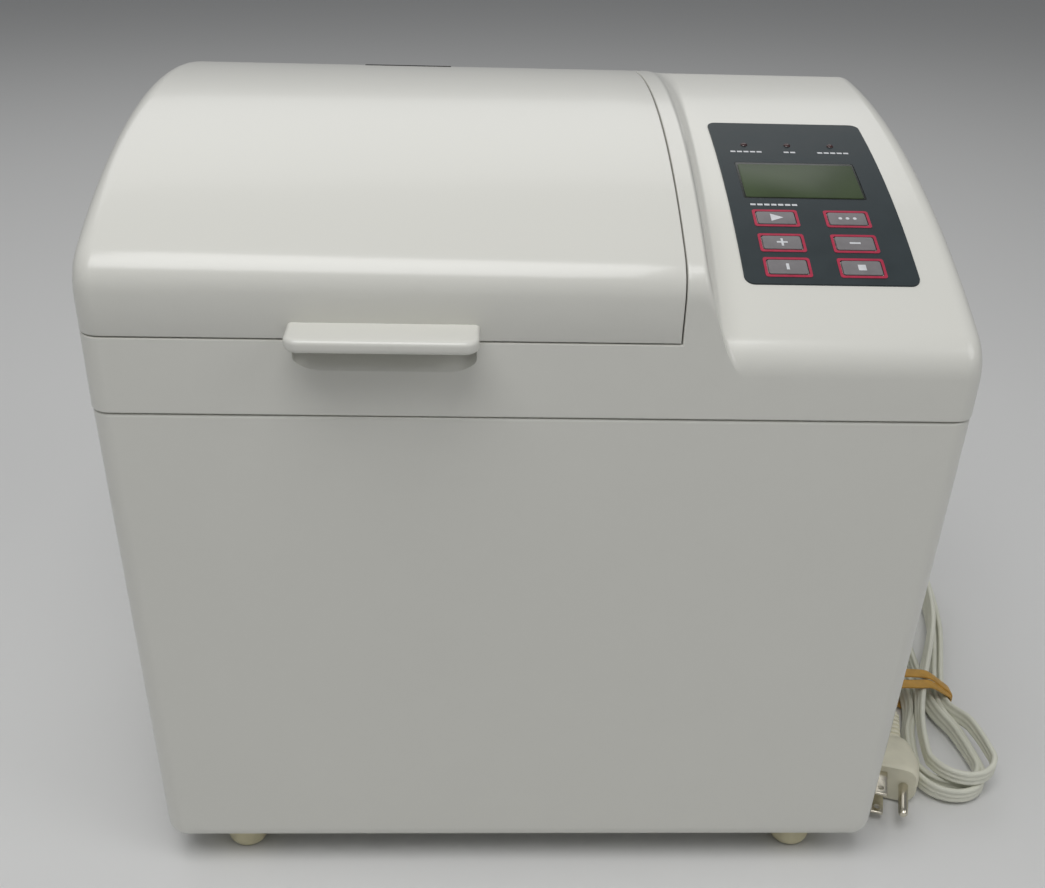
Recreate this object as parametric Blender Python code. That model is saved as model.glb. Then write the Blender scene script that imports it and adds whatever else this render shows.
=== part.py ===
"""Household bread machine: moulded cases, hinged lid, oven, pan, kneading drive and mains cord.

Metres, +Z up. X runs across the front, Y from the front face to the back.
The shapes are drawn with Y = 0 on the front face, and the empty "machine" moves them so that the
origin is under the middle of the whole object, on the surface that it stands on.
"""

import math

import bmesh
import bpy
from mathutils import Matrix, Vector

# ---- overall sizes ----
BODY_WIDTH = 0.340
BODY_DEPTH = 0.232
CASE_HEIGHT = 0.227
CASE_TAPER = math.radians(1.0)
FOOT_HEIGHT = 0.014
FOOT_RADIUS = 0.010
WALL = 0.0025
SEAM_INSET = 0.0004
EDGE_RADIUS = 0.009
EDGE_STEPS = 4

# ---- upper housing, heights above the seam ----
BAND_HEIGHT = 0.031
LID_FRONT_HEIGHT = 0.0573
LID_CREST_HEIGHT = 0.0923
LID_CREST_FROM_BACK = 0.087
PANEL_FRONT_HEIGHT = 0.0278
PANEL_CREST_HEIGHT = 0.0812
PANEL_CREST_FROM_BACK = 0.010
FRONT_CURVE = 0.008
BACK_CURVE = 0.006
CROWN_STEPS = 11
PANEL_SECTION = 0.118
RIDGE_WIDTH = 0.011
VALLEY_WIDTH = 0.014
VALLEY_STEPS = 6

# ---- clearances ----
TOUCH_GAP = 0.0003
LID_GAP = 0.0005
SEAM_GAP = 0.0006
KEY_GAP = 0.0003
RUNNING_GAP = 0.0003

# ---- lid ----
HANDLE_WIDTH = 0.070
HANDLE_REACH = 0.0165
HANDLE_THICKNESS = 0.004
HANDLE_LIFT = 0.0027
HANDLE_CORNER = 0.005
RECESS_DEPTH = 0.008
RECESS_HEIGHT = 0.012
RECESS_TAPER = 0.006
RECESS_SIDE_GAP = 0.001
RECESS_BACK_TAPER = 0.003
RECESS_LIP = 0.002
HINGE_RADIUS = 0.0057
HINGE_PIN_RADIUS = 0.002
HINGE_PIN_LENGTH = 0.022
HINGE_LUG_WIDTH = 0.010
HINGE_SPACING = 0.150
LINER_THICKNESS = 0.0015
LINER_DROP = 0.003
VENT_LENGTH = 0.042
VENT_WIDTH = 0.014
VENT_FROM_BACK = 0.024
VENT_SLOTS = 5
VENT_SLOT_WIDTH = 0.003
LINER_BACK_GAP = 0.001
DOME_MARGIN_X = 0.004
DOME_MARGIN_Y = 0.006

# ---- control panel, places measured from the right side and along Y ----
LABEL_WIDTH = 0.0695
LABEL_FROM_RIGHT = 0.0548
LABEL_FRONT = 0.0321
LABEL_LENGTH = 0.1157
LABEL_CORNER = 0.004
LABEL_THICKNESS = 0.0008
LABEL_SINK = 0.0005
DISPLAY_WIDTH = 0.0520
DISPLAY_LENGTH = 0.0285
DISPLAY_FROM_LABEL_FRONT = 0.0642
LENS_THICKNESS = 0.0012
KEY_WIDTH = 0.0157
KEY_LENGTH = 0.0080
KEY_STAND = 0.0010
KEY_DEPTH = 0.0060
KEY_PITCH_ACROSS = 0.0296
KEY_ROWS_FROM_LABEL_FRONT = (0.0088, 0.0224, 0.0374)
KEY_NAMES = (("start_key", "stop_key"), ("hour_key", "minute_key"), ("light_key", "select_key"))
LAMP_RADIUS = 0.0015
LAMP_STAND = 0.0010
LAMP_DEPTH = 0.0050
LAMP_PITCH = 0.0193
LAMP_FROM_LABEL_FRONT = 0.0934
BOARD_THICKNESS = 0.0016
BOARD_DROP = 0.0100
BOARD_SHARE = 0.8
KEY_BLOCK_SHIFT = 0.0020
KEY_CORNER = 0.001
HOLE_REACH = 0.008

# ---- oven, pan and paddle ----
OVEN_SIDE_MARGIN = 0.025
OVEN_FRONT_MARGIN = 0.034
OVEN_CORNER = 0.020
OVEN_WALL = 0.001
OVEN_FLANGE = 0.006
PAN_SIDE_CLEARANCE = 0.011
PAN_FRONT_CLEARANCE = 0.017
PAN_CORNER = 0.022
PAN_WALL = 0.0015
PAN_FLOOR = 0.002
PAN_RIM = 0.003
PAN_RIM_THICKNESS = 0.002
PAN_BELOW_DECK = 0.026
PAN_FOOT_RADIUS = 0.043
PAN_FOOT_WALL = 0.003
PAN_FOOT_HEIGHT = 0.012
SOCKET_WALL = 0.004
SOCKET_RIM_GAP = 0.003
BAIL_DROP = 0.008
BAIL_THICKNESS = 0.0025
BAIL_WIDTH = 0.004
BAIL_RIM_GAP = 0.0015
STUB_RADIUS = 0.0035
PADDLE_HUB_RADIUS = 0.010
PADDLE_HUB_HEIGHT = 0.018
PADDLE_REACH = 0.040
PADDLE_THICKNESS = 0.005
ELEMENT_RADIUS = 0.0032
ELEMENT_HEIGHT = 0.030
ELEMENT_GAP = 0.0025
ELEMENT_TERMINALS = 0.024
ELEMENT_TURN = 0.003
ELEMENT_STUB = 0.006
SENSOR_RADIUS = 0.003
SENSOR_LENGTH = 0.010
SENSOR_HEIGHT = 0.060
SENSOR_TIP = 0.001
PADDLE_ABOVE_PAN = 0.004
PADDLE_CAP = 0.0015
BAIL_SIDE_GAP = 0.0007
BAIL_CORNER = 0.0105
EYE_WALL = 0.003
STUB_STAND = 0.001
SEAL_WALL = 0.005
SEAL_HEIGHT = 0.003
OVEN_BORE_GAP = 0.004

# ---- drive ----
PLATE_THICKNESS = 0.002
CHASSIS_HEIGHT = 0.043
CHASSIS_FRONT_MARGIN = 0.036
CHASSIS_SIDE_MARGIN = 0.020
SHAFT_RADIUS = 0.004
BEARING_RADIUS = 0.014
BEARING_HEIGHT = 0.0155
COUPLING_RADIUS = 0.016
COUPLING_THICKNESS = 0.006
COUPLING_LUG_HEIGHT = 0.0065
COUPLING_LUG_WIDTH = 0.006
COUPLING_LUG_INNER = 0.007
COUPLING_ABOVE_OVEN = 0.003
DRIVEN_BAR_GAP = 0.002
DRIVEN_BAR_HEIGHT = 0.005
DRIVEN_BAR_MARGIN = 0.003
PULLEY_RADIUS = 0.045
MOTOR_PULLEY_RADIUS = 0.009
PULLEY_THICKNESS = 0.010
PULLEY_FLANGE = 0.0015
BELT_THICKNESS = 0.002
PULLEY_BELOW_CHASSIS = 0.014
PULLEY_WINDOWS = 6
PULLEY_WINDOW_RADIUS = 0.008
BELT_INSET = 0.001
BELT_SIDE_GAP = 0.0005
SHAFT_END = 0.003
CHASSIS_BORE_GAP = 0.001
ROTOR_REACH = 0.012
ROTOR_END_GAP = 0.002
MOTOR_RADIUS = 0.036
MOTOR_HEIGHT = 0.072
MOTOR_CHAMFER = 0.004
MOTOR_CAP_RADIUS = 0.010
MOTOR_CAP_HEIGHT = 0.006
MOTOR_FROM_RIGHT = 0.070
TRANSFORMER_SIZE = (0.040, 0.034, 0.032)
POWER_BOARD_SIZE = (0.090, 0.060)
TRANSFORMER_FROM_CHASSIS = 0.008
POWER_BOARD_FROM_CHASSIS = 0.014

# ---- base, screws ----
BASE_OPENING_MARGIN = 0.035
BASE_OPENING_SIDE_MARGIN = 0.060
BASE_CORNER = 0.006
CASE_FLOOR_CORNER = 0.0015
BASE_PLATE_LAP = 0.013
SCREW_RADIUS = 0.0015
SCREW_HEAD_RADIUS = 0.0032
SCREW_HEAD_HEIGHT = 0.0015
SCREW_LENGTH = 0.008
FOOT_FROM_SIDE = 0.038
FOOT_FROM_FRONT = 0.019
FOOT_PROFILE = ((0.62, 0.0), (0.86, 0.1), (0.97, 0.29), (1.0, 0.5))
VENT_ROWS = 4
BASE_VENT_WIDTH = 0.003
BASE_VENT_LENGTH = 0.060
SCREW_CHAMFER = 0.0006
SCREW_HOLE_HEIGHT = 0.030

# ---- cord, a flat three-core lead folded into a tied hank beside the machine ----
CORD_WIDTH = 0.0084
RELIEF_FROM_RIGHT = 0.042
RELIEF_HEIGHT = 0.062
RELIEF_LENGTH = 0.034
RELIEF_RADIUS = 0.0080
RELIEF_TIP_RADIUS = 0.0050
RELIEF_NECK_RADIUS = 0.0065
RELIEF_FLANGE = 0.002
RELIEF_COLLAR = 0.003
RELIEF_LIP = 0.001
CORD_SPACING = 0.020
LEAD_ROUTE = (
    (0.128, 0.2666, 0.062),
    (0.128, 0.285, 0.0595),
    (0.133, 0.303, 0.050),
    (0.148, 0.319, 0.032),
    (0.168, 0.328, 0.0135),
    (0.190, 0.329, 0.0060),
    (0.211, 0.321, 0.0050),
    (0.228, 0.304, 0.0048),
    (0.2375, 0.284, 0.0048),
    (0.2410, 0.266, 0.0048),
    (0.2410, 0.2529, 0.0048),
)
HANK_FRONT = (0.2285, 0.0590)
HANK_WAIST = (0.2265, 0.1120)
HANK_REAR = (0.2410, 0.2245)
HANK_FRONT_RADIUS = 0.0225
HANK_WAIST_HALF = 0.0170
HANK_REAR_RADIUS = 0.0280
HANK_BASE = 0.0018
HANK_TOP = 0.0215
BAND_WIDTH = 0.012
BAND_THICKNESS = 0.0012
BAND_CORNER = 0.004
PLUG_FACE = (0.1885, 0.0405)
PLUG_ANGLE = math.radians(17)
PLUG_WIDTH = 0.026
PLUG_TALL = 0.023
PLUG_BODY = 0.028
PLUG_TAIL = 0.024
PLUG_SECTIONS = ((0.0, 0.94, 0.94), (0.05, 1.0, 1.0), (0.6, 1.0, 1.0), (1.0, 0.62, 0.72), (1.07, 0.40, 0.44))
PLUG_TAIL_END = (0.33, 0.24)
PLUG_ROUNDNESS = 0.55
BLADE_SIZE = (0.0063, 0.0163, 0.0016)
BLADE_PITCH = 0.0127
BLADE_TO_GROUND = 0.0119
GROUND_RADIUS = 0.0024
GROUND_LENGTH = 0.0206
GROUND_TIP = 0.002

# ---- places worked out from the sizes ----
HALF_WIDTH = BODY_WIDTH / 2
SEAM_Z = FOOT_HEIGHT + CASE_HEIGHT
DECK_Z = SEAM_Z + BAND_HEIGHT
LID_RIGHT = HALF_WIDTH - PANEL_SECTION
OVEN_HALF_X = (LID_RIGHT + HALF_WIDTH) / 2 - OVEN_SIDE_MARGIN
OVEN_HALF_Y = BODY_DEPTH / 2 - OVEN_FRONT_MARGIN
OVEN_X = (LID_RIGHT - HALF_WIDTH) / 2
OVEN_Y = BODY_DEPTH / 2
HINGE_Y = BODY_DEPTH - HINGE_RADIUS - TOUCH_GAP
HINGE_Z = DECK_Z + HINGE_RADIUS + TOUCH_GAP
BASE_TOP = FOOT_HEIGHT + WALL
PLATE_TOP = BASE_TOP + TOUCH_GAP + PLATE_THICKNESS
CHASSIS_TOP = PLATE_TOP + TOUCH_GAP + CHASSIS_HEIGHT
BEARING_TOP = CHASSIS_TOP + TOUCH_GAP + BEARING_HEIGHT
OVEN_FLOOR = BEARING_TOP + TOUCH_GAP
OVEN_TOP = DECK_Z - WALL - TOUCH_GAP
COUPLING_Z = OVEN_FLOOR + OVEN_WALL + COUPLING_ABOVE_OVEN
PAN_HALF_X = OVEN_HALF_X - PAN_SIDE_CLEARANCE
PAN_HALF_Y = OVEN_HALF_Y - PAN_FRONT_CLEARANCE
PAN_TOP = DECK_Z - PAN_BELOW_DECK
SOCKET_Z = OVEN_FLOOR + OVEN_WALL + TOUCH_GAP
PAN_FOOT_Z = SOCKET_Z + SOCKET_WALL + TOUCH_GAP
PAN_Z = PAN_FOOT_Z + PAN_FOOT_HEIGHT
PADDLE_Z = PAN_Z + PAN_FLOOR + PADDLE_ABOVE_PAN
PULLEY_Z = CHASSIS_TOP - PLATE_THICKNESS - PULLEY_BELOW_CHASSIS
MOTOR_X = HALF_WIDTH - MOTOR_FROM_RIGHT
LABEL_X = HALF_WIDTH - LABEL_FROM_RIGHT


# ---- materials ----
def plain_material(name, color, roughness, metallic=0.0):
    material = bpy.data.materials.new(name)
    material.use_nodes = True
    shader = material.node_tree.nodes["Principled BSDF"]
    shader.inputs["Base Color"].default_value = (*color, 1.0)
    shader.inputs["Roughness"].default_value = roughness
    shader.inputs["Metallic"].default_value = metallic
    material.diffuse_color = (*color, 1.0)
    return material


def white_plastic(name):
    return plain_material(name, (0.80, 0.79, 0.76), 0.32)


def cream_rubber(name):
    return plain_material(name, (0.74, 0.70, 0.55), 0.45)


def slate_film(name):
    return plain_material(name, (0.055, 0.065, 0.080), 0.45)


def grey_plastic(name):
    return plain_material(name, (0.22, 0.23, 0.25), 0.5)


def dark_plastic(name):
    return plain_material(name, (0.02, 0.02, 0.02), 0.5)


def coated_metal(name):
    return plain_material(name, (0.06, 0.06, 0.065), 0.4, 0.4)


def bright_metal(name):
    return plain_material(name, (0.62, 0.62, 0.61), 0.3, 1.0)


def display_film(name):
    return plain_material(name, (0.10, 0.12, 0.08), 0.3)


def clear_plastic(name):
    return plain_material(name, (0.16, 0.18, 0.14), 0.1)


def lamp_plastic(name):
    return plain_material(name, (0.10, 0.02, 0.02), 0.3)


def green_board(name):
    return plain_material(name, (0.03, 0.16, 0.07), 0.5)


def cord_vinyl(name):
    return plain_material(name, (0.72, 0.71, 0.66), 0.5)


def band_rubber(name):
    return plain_material(name, (0.62, 0.36, 0.10), 0.55)


# ---- building blocks ----
def place(bm, name, make_material, origin=(0, 0, 0), turn_x=0.0, turn_z=0.0, helper=False, smooth=True):
    """Turns a bmesh drawn in machine coordinates into an object whose origin is at the given point."""
    bmesh.ops.recalc_face_normals(bm, faces=bm.faces)
    mesh = bpy.data.meshes.new(name)
    bm.to_mesh(mesh)
    bm.free()
    if smooth:
        mesh.shade_smooth()
        mesh.set_sharp_from_angle(angle=math.radians(35))
    obj = bpy.data.objects.new(name, mesh)
    bpy.context.scene.collection.objects.link(obj)
    mesh.transform(Matrix.Translation(-Vector(origin)))
    obj.location = origin
    obj.rotation_euler = (turn_x, 0.0, turn_z)
    obj.parent = machine
    if helper:
        obj.hide_render = True
        obj.display_type = "WIRE"
    else:
        mesh.materials.append(make_material(name))
    return obj


def guide(bm, name, **where):
    return place(bm, name, None, helper=True, **where)


def combine(obj, other, operation):
    step = obj.modifiers.new(other.name, "BOOLEAN")
    step.operation = operation
    step.solver = "EXACT"
    step.object = other
    return obj


def cut(obj, other):
    return combine(obj, other, "DIFFERENCE")


def join(obj, other):
    return combine(obj, other, "UNION")


def common(obj, other):
    return combine(obj, other, "INTERSECT")


def loft(rings):
    """A closed solid through rings of points that have the same count, with a flat face on each end."""
    bm = bmesh.new()
    rows = [[bm.verts.new(p) for p in ring] for ring in rings]
    count = len(rows[0])
    for low, high in zip(rows, rows[1:]):
        for i in range(count):
            bm.faces.new((low[i], low[(i + 1) % count], high[(i + 1) % count], high[i]))
    bm.faces.new(rows[0][::-1])
    bm.faces.new(rows[-1])
    return bm


def prism(outline, low, high, axis="Z"):
    """An outline pushed along an axis. Its points are (y, z) along X, (x, z) along Y and (x, y) along Z."""
    spread = {
        "X": lambda p, at: (at, p[0], p[1]),
        "Y": lambda p, at: (p[0], at, p[1]),
        "Z": lambda p, at: (p[0], p[1], at),
    }[axis]
    return loft([[spread(p, at) for p in outline] for at in (low, high)])


def box(low, high):
    outline = [(low[0], low[1]), (high[0], low[1]), (high[0], high[1]), (low[0], high[1])]
    return prism(outline, low[2], high[2])


def circle(center, radius, count):
    steps = [2 * math.pi * i / count for i in range(count)]
    return [(center[0] + radius * math.cos(a), center[1] + radius * math.sin(a)) for a in steps]


def rounded(center, half_x, half_y, corner, steps=4):
    outline = []
    for quarter, (sx, sy) in enumerate(((1, 1), (-1, 1), (-1, -1), (1, -1))):
        middle = (center[0] + sx * (half_x - corner), center[1] + sy * (half_y - corner))
        for i in range(steps + 1):
            a = math.pi / 2 * (quarter + i / steps)
            outline.append((middle[0] + corner * math.cos(a), middle[1] + corner * math.sin(a)))
    return outline


def turned(profile, center, count=24, axis="Z"):
    """A solid turned about a line through center. The profile's points are (radius, height)."""
    rings = []
    for radius, height in profile:
        ring = [(x, y, height) for x, y in circle((0, 0), radius, count)]
        rings.append(ring)
    bm = loft(rings)
    turn = {
        "X": Matrix.Rotation(math.pi / 2, 4, "Y"),
        "Y": Matrix.Rotation(-math.pi / 2, 4, "X"),
        "Z": Matrix(),
    }
    bm.transform(Matrix.Translation(center) @ turn[axis])
    return bm


def rod(center, radius, low, high, axis="Z", count=24):
    return turned([(radius, low), (radius, high)], center, count, axis)


# ---- curves of the outer shell ----
def crown_height(y, front_height, crest_height, crest_y):
    """Height of a circular crown above the seam. It starts at front_height on the front face."""
    drop = crest_height - front_height
    radius = (crest_y * crest_y + drop * drop) / (2 * drop)
    return crest_height - radius + math.sqrt(radius * radius - (y - crest_y) ** 2)


def lid_crown(y):
    return SEAM_Z + crown_height(y, LID_FRONT_HEIGHT, LID_CREST_HEIGHT, BODY_DEPTH - LID_CREST_FROM_BACK)


def panel_crown(y):
    crest_y = BODY_DEPTH - PANEL_CREST_FROM_BACK
    return SEAM_Z + crown_height(y, PANEL_FRONT_HEIGHT, PANEL_CREST_HEIGHT, crest_y)


def panel_slope(y):
    step = 0.0005
    return math.atan2(panel_crown(y + step) - panel_crown(y - step), 2 * step)


def shell_profile(crown, inset, bottom):
    """Side view of the shell, from the front's bottom over the crown to the back's bottom."""
    front, back = inset, BODY_DEPTH - inset
    points = [(front, bottom)]
    corner = (front, crown(front) - inset)
    up = (front, corner[1] - FRONT_CURVE)
    over = (front + FRONT_CURVE, crown(front + FRONT_CURVE) - inset)
    points += bend(up, corner, over)
    run = back - BACK_CURVE - over[0]
    for i in range(1, CROWN_STEPS):
        y = over[0] + run * i / CROWN_STEPS
        points.append((y, crown(y) - inset))
    behind = (back - BACK_CURVE, crown(back - BACK_CURVE) - inset)
    points += bend(behind, (back, crown(back) - inset), (back, crown(back) - inset - BACK_CURVE))
    points.append((back, bottom))
    return points


def bend(start, corner, end, steps=4):
    """Points on a smooth bend from start to end that leaves and arrives towards the corner."""
    points = []
    for i in range(steps + 1):
        t = i / steps
        a, b, c = (1 - t) ** 2, 2 * t * (1 - t), t * t
        points.append((a * start[0] + b * corner[0] + c * end[0], a * start[1] + b * corner[1] + c * end[1]))
    return points


def edge_stations(x, inward, radius):
    """(x, inset) pairs that round an end of the shell over with the given radius."""
    pairs = []
    for i in range(EDGE_STEPS + 1):
        a = math.pi / 2 * i / EDGE_STEPS
        pairs.append((x + inward * radius * (1 - math.cos(a)), radius * (1 - math.sin(a))))
    return pairs


def shell_ring(x, crown, inset, bottom):
    return [(x, y, z) for y, z in shell_profile(crown, inset, bottom)]


def blend_crown(share):
    smooth = share * share * (3 - 2 * share)
    return lambda y: lid_crown(y) * (1 - smooth) + panel_crown(y) * smooth


def housing_rings(wall, bottom):
    """The upper housing's shell right of the lid: ridge, valley and panel, thinner by wall all round."""
    left = LID_RIGHT + LID_GAP + wall
    ridge_end = LID_RIGHT + RIDGE_WIDTH
    rings = [shell_ring(left, lid_crown, wall, bottom)]
    for i in range(VALLEY_STEPS + 1):
        share = i / VALLEY_STEPS
        rings.append(shell_ring(ridge_end + VALLEY_WIDTH * share, blend_crown(share), wall, bottom))
    for x, inset in reversed(edge_stations(HALF_WIDTH - wall, -1, EDGE_RADIUS - wall)):
        rings.append(shell_ring(x, panel_crown, inset + wall, bottom))
    return rings


def lid_rings(wall, bottom):
    rings = []
    for x, inset in edge_stations(-HALF_WIDTH + wall, 1, EDGE_RADIUS - wall):
        rings.append(shell_ring(x, lid_crown, inset + wall, bottom))
    rings.append(shell_ring(LID_RIGHT - wall, lid_crown, wall, bottom))
    return rings


def crown_slab(crown, low, high, y_front, y_back, x_left, x_right, steps=6):
    """A slab that follows a crown, between two distances from it."""
    ys = [y_front + (y_back - y_front) * i / steps for i in range(steps + 1)]
    outline = [(y, crown(y) + high) for y in ys] + [(y, crown(y) + low) for y in reversed(ys)]
    return prism(outline, x_left, x_right, "X")


def on_panel(y):
    """The place and the tilt of a piece that sits square on the panel at y."""
    return panel_crown(y), panel_slope(y)


# ---- cases ----
def case_outline(z, wall):
    sink = (SEAM_Z - z) * math.tan(CASE_TAPER)
    half_x = HALF_WIDTH - SEAM_INSET - sink - wall
    return rounded((0, OVEN_Y), half_x, OVEN_Y - SEAM_INSET - wall, EDGE_RADIUS - wall)


def case_rings(wall, bottom, top):
    rings = []
    for i in range(EDGE_STEPS + 1):
        a = math.pi / 2 * i / EDGE_STEPS
        inset = (EDGE_RADIUS - wall) * (1 - math.sin(a))
        z = bottom + (EDGE_RADIUS - wall) * (1 - math.cos(a))
        center = (0, OVEN_Y)
        sink = (SEAM_Z - z) * math.tan(CASE_TAPER)
        half_x = HALF_WIDTH - SEAM_INSET - sink - wall - inset
        half_y = OVEN_Y - SEAM_INSET - wall - inset
        outline = rounded(center, half_x, half_y, max(EDGE_RADIUS - wall - inset, CASE_FLOOR_CORNER))
        rings.append([(x, y, z) for x, y in outline])
    rings.append([(x, y, top) for x, y in case_outline(top, wall)])
    return rings


def base_half_sizes():
    return HALF_WIDTH - BASE_OPENING_SIDE_MARGIN, OVEN_Y - BASE_OPENING_MARGIN


def make_lower_case():
    case = place(loft(case_rings(0.0, FOOT_HEIGHT, SEAM_Z - SEAM_GAP)), "lower_case", white_plastic)
    cut(case, guide(loft(case_rings(WALL, BASE_TOP, SEAM_Z + WALL)), "case_inside"))
    half_x, half_y = base_half_sizes()
    opening = prism(rounded((0, OVEN_Y), half_x, half_y, BASE_CORNER), 0, BASE_TOP + WALL)
    cut(case, guide(opening, "case_base_opening"))
    exit_point = (HALF_WIDTH - RELIEF_FROM_RIGHT, BODY_DEPTH, RELIEF_HEIGHT)
    neck = rod(exit_point, RELIEF_NECK_RADIUS + TOUCH_GAP, -2 * WALL, 2 * WALL, "Y")
    cut(case, guide(neck, "case_cord_hole"))
    for index, spot in enumerate(screw_places()):
        cut(case, guide(screw_hole(spot), f"case_screw_hole_{index}"))
    return case


def screw_places():
    half_x, half_y = base_half_sizes()
    lap = BASE_PLATE_LAP / 2
    return [(sx * (half_x + lap), OVEN_Y + sy * (half_y + lap)) for sx in (-1, 1) for sy in (-1, 1)]


def screw_hole(spot):
    return rod((*spot, 0), SCREW_RADIUS + TOUCH_GAP, 0, SCREW_HOLE_HEIGHT, count=12)


def make_base_plate():
    half_x, half_y = base_half_sizes()
    outline = rounded((0, OVEN_Y), half_x + BASE_PLATE_LAP, half_y + BASE_PLATE_LAP, BASE_CORNER)
    plate = place(prism(outline, BASE_TOP + TOUCH_GAP, PLATE_TOP), "base_plate", bright_metal)
    for index, spot in enumerate(screw_places()):
        cut(plate, guide(screw_hole(spot), f"plate_screw_hole_{index}"))
    wide, long = BASE_VENT_WIDTH / 2, BASE_VENT_LENGTH / 2
    for row in range(VENT_ROWS):
        x = -half_x / 2 + half_x * row / (VENT_ROWS - 1)
        slot = box((x - wide, OVEN_Y - long, 0), (x + wide, OVEN_Y + long, PLATE_TOP + WALL))
        cut(plate, guide(slot, f"plate_vent_{row}"))
    return plate


def hinge_places():
    return [("left", OVEN_X - HINGE_SPACING / 2), ("right", OVEN_X + HINGE_SPACING / 2)]


def recess_guide():
    """The scoop for the fingers below the lid's handle, deepest at its top."""
    top, low = DECK_Z + WALL, DECK_Z - RECESS_HEIGHT
    half = HANDLE_WIDTH / 2 - RECESS_SIDE_GAP
    bm = bmesh.new()
    for sx in (-1, 1):
        for z, side in ((top, half), (DECK_Z - RECESS_LIP, half), (low, half - RECESS_TAPER)):
            bm.verts.new((OVEN_X + sx * side, -WALL, z))
        back_x = OVEN_X + sx * (half - RECESS_BACK_TAPER)
        bm.verts.new((back_x, RECESS_DEPTH, top))
        bm.verts.new((back_x, RECESS_DEPTH, DECK_Z - 2 * RECESS_LIP))
        bm.verts.new((OVEN_X + sx * (half - RECESS_TAPER), RECESS_LIP / 2, low))
    bmesh.ops.convex_hull(bm, input=bm.verts)
    return guide(bm, "recess_scoop")


def make_upper_housing():
    rings = []
    for x, inset in edge_stations(-HALF_WIDTH, 1, EDGE_RADIUS):
        outline = rounded_band(inset)
        rings.append([(x, y, z) for y, z in outline])
    rings.append([(LID_RIGHT + RIDGE_WIDTH / 2, y, z) for y, z in rounded_band(0.0)])
    housing = place(loft(rings), "upper_housing", white_plastic)
    join(housing, guide(loft(housing_rings(0.0, SEAM_Z)), "housing_right"))
    left, right = -HALF_WIDTH + WALL, LID_RIGHT + RIDGE_WIDTH
    under_deck = rounded(((left + right) / 2, OVEN_Y), (right - left) / 2, OVEN_Y - WALL, EDGE_RADIUS - WALL)
    cut(housing, guide(prism(under_deck, SEAM_Z - WALL, DECK_Z - WALL), "housing_inside_low"))
    cut(housing, guide(loft(housing_rings(WALL, SEAM_Z - WALL)), "housing_inside_high"))
    backing = box(
        (OVEN_X - HANDLE_WIDTH / 2 - WALL, WALL / 2, DECK_Z - RECESS_HEIGHT - 2 * WALL),
        (OVEN_X + HANDLE_WIDTH / 2 + WALL, RECESS_DEPTH + WALL, DECK_Z - WALL / 2),
    )
    join(housing, guide(backing, "recess_backing"))
    cut(housing, recess_guide())
    opening = prism(oven_outline(0.0), DECK_Z - 2 * WALL, DECK_Z + WALL)
    cut(housing, guide(opening, "oven_opening"))
    for side, x in hinge_places():
        join(housing, guide(hinge_lug(x), f"hinge_lug_{side}"))
        cut(housing, guide(hinge_bore(x), f"housing_hinge_bore_{side}"))
    cut_panel_holes(housing, "housing")
    pocket = guide(label_slab(-LABEL_SINK, WALL, TOUCH_GAP), "label_pocket")
    common(pocket, guide(label_prism(TOUCH_GAP), "label_pocket_outline"))
    cut(housing, pocket)
    return housing


def rounded_band(inset):
    front, back = inset, BODY_DEPTH - inset
    return [(front, SEAM_Z), (front, DECK_Z), (back, DECK_Z), (back, SEAM_Z)]


def hinge_lug(x):
    foot = DECK_Z - WALL / 2
    outline = [(HINGE_Y + HINGE_RADIUS, foot)]
    for a in arc_steps(0, math.pi, 8):
        outline.append((HINGE_Y + HINGE_RADIUS * math.cos(a), HINGE_Z + HINGE_RADIUS * math.sin(a)))
    outline.append((HINGE_Y - HINGE_RADIUS, foot))
    return prism(outline, x - HINGE_LUG_WIDTH / 2, x + HINGE_LUG_WIDTH / 2, "X")


def arc_steps(start, end, count):
    return [start + (end - start) * i / count for i in range(count + 1)]


def hinge_bore(x):
    half = HINGE_PIN_LENGTH / 2 + TOUCH_GAP
    return rod((x, HINGE_Y, HINGE_Z), HINGE_PIN_RADIUS + RUNNING_GAP, -half, half, "X", 16)


# ---- lid ----
def make_lid_shell():
    bottom = DECK_Z + LID_GAP
    hinge = (OVEN_X, HINGE_Y, HINGE_Z)
    lid = place(loft(lid_rings(0.0, bottom)), "lid_shell", white_plastic, origin=hinge)
    cut(lid, guide(loft(lid_rings(WALL, bottom - WALL)), "lid_inside"))
    edge = box((-BODY_WIDTH, HINGE_Y, bottom - WALL), (BODY_WIDTH, BODY_DEPTH + WALL, HINGE_Z))
    cut(lid, guide(edge, "lid_back_edge"))
    side = EDGE_RADIUS + WALL
    barrel = rod((0, HINGE_Y, HINGE_Z), HINGE_RADIUS, -HALF_WIDTH + side, LID_RIGHT - WALL / 2, "X", 24)
    join(lid, guide(barrel, "lid_barrel"))
    join(lid, guide(handle_solid(), "lid_handle"))
    for name, x in hinge_places():
        half = HINGE_LUG_WIDTH / 2 + LID_GAP
        reach = HINGE_RADIUS + LID_GAP
        notch = box((x - half, HINGE_Y - reach, DECK_Z - WALL), (x + half, BODY_DEPTH + WALL, HINGE_Z + reach))
        cut(lid, guide(notch, f"hinge_notch_{name}"))
        cut(lid, guide(hinge_bore(x), f"lid_hinge_bore_{name}"))
    y_front, y_back = vent_span(0.0)
    half, low = VENT_LENGTH / 2, DECK_Z + BAND_HEIGHT
    vent = box((OVEN_X - half, y_front, low), (OVEN_X + half, y_back, DECK_Z + BODY_DEPTH))
    cut(lid, guide(vent, "lid_vent_hole"))
    return lid


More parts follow.
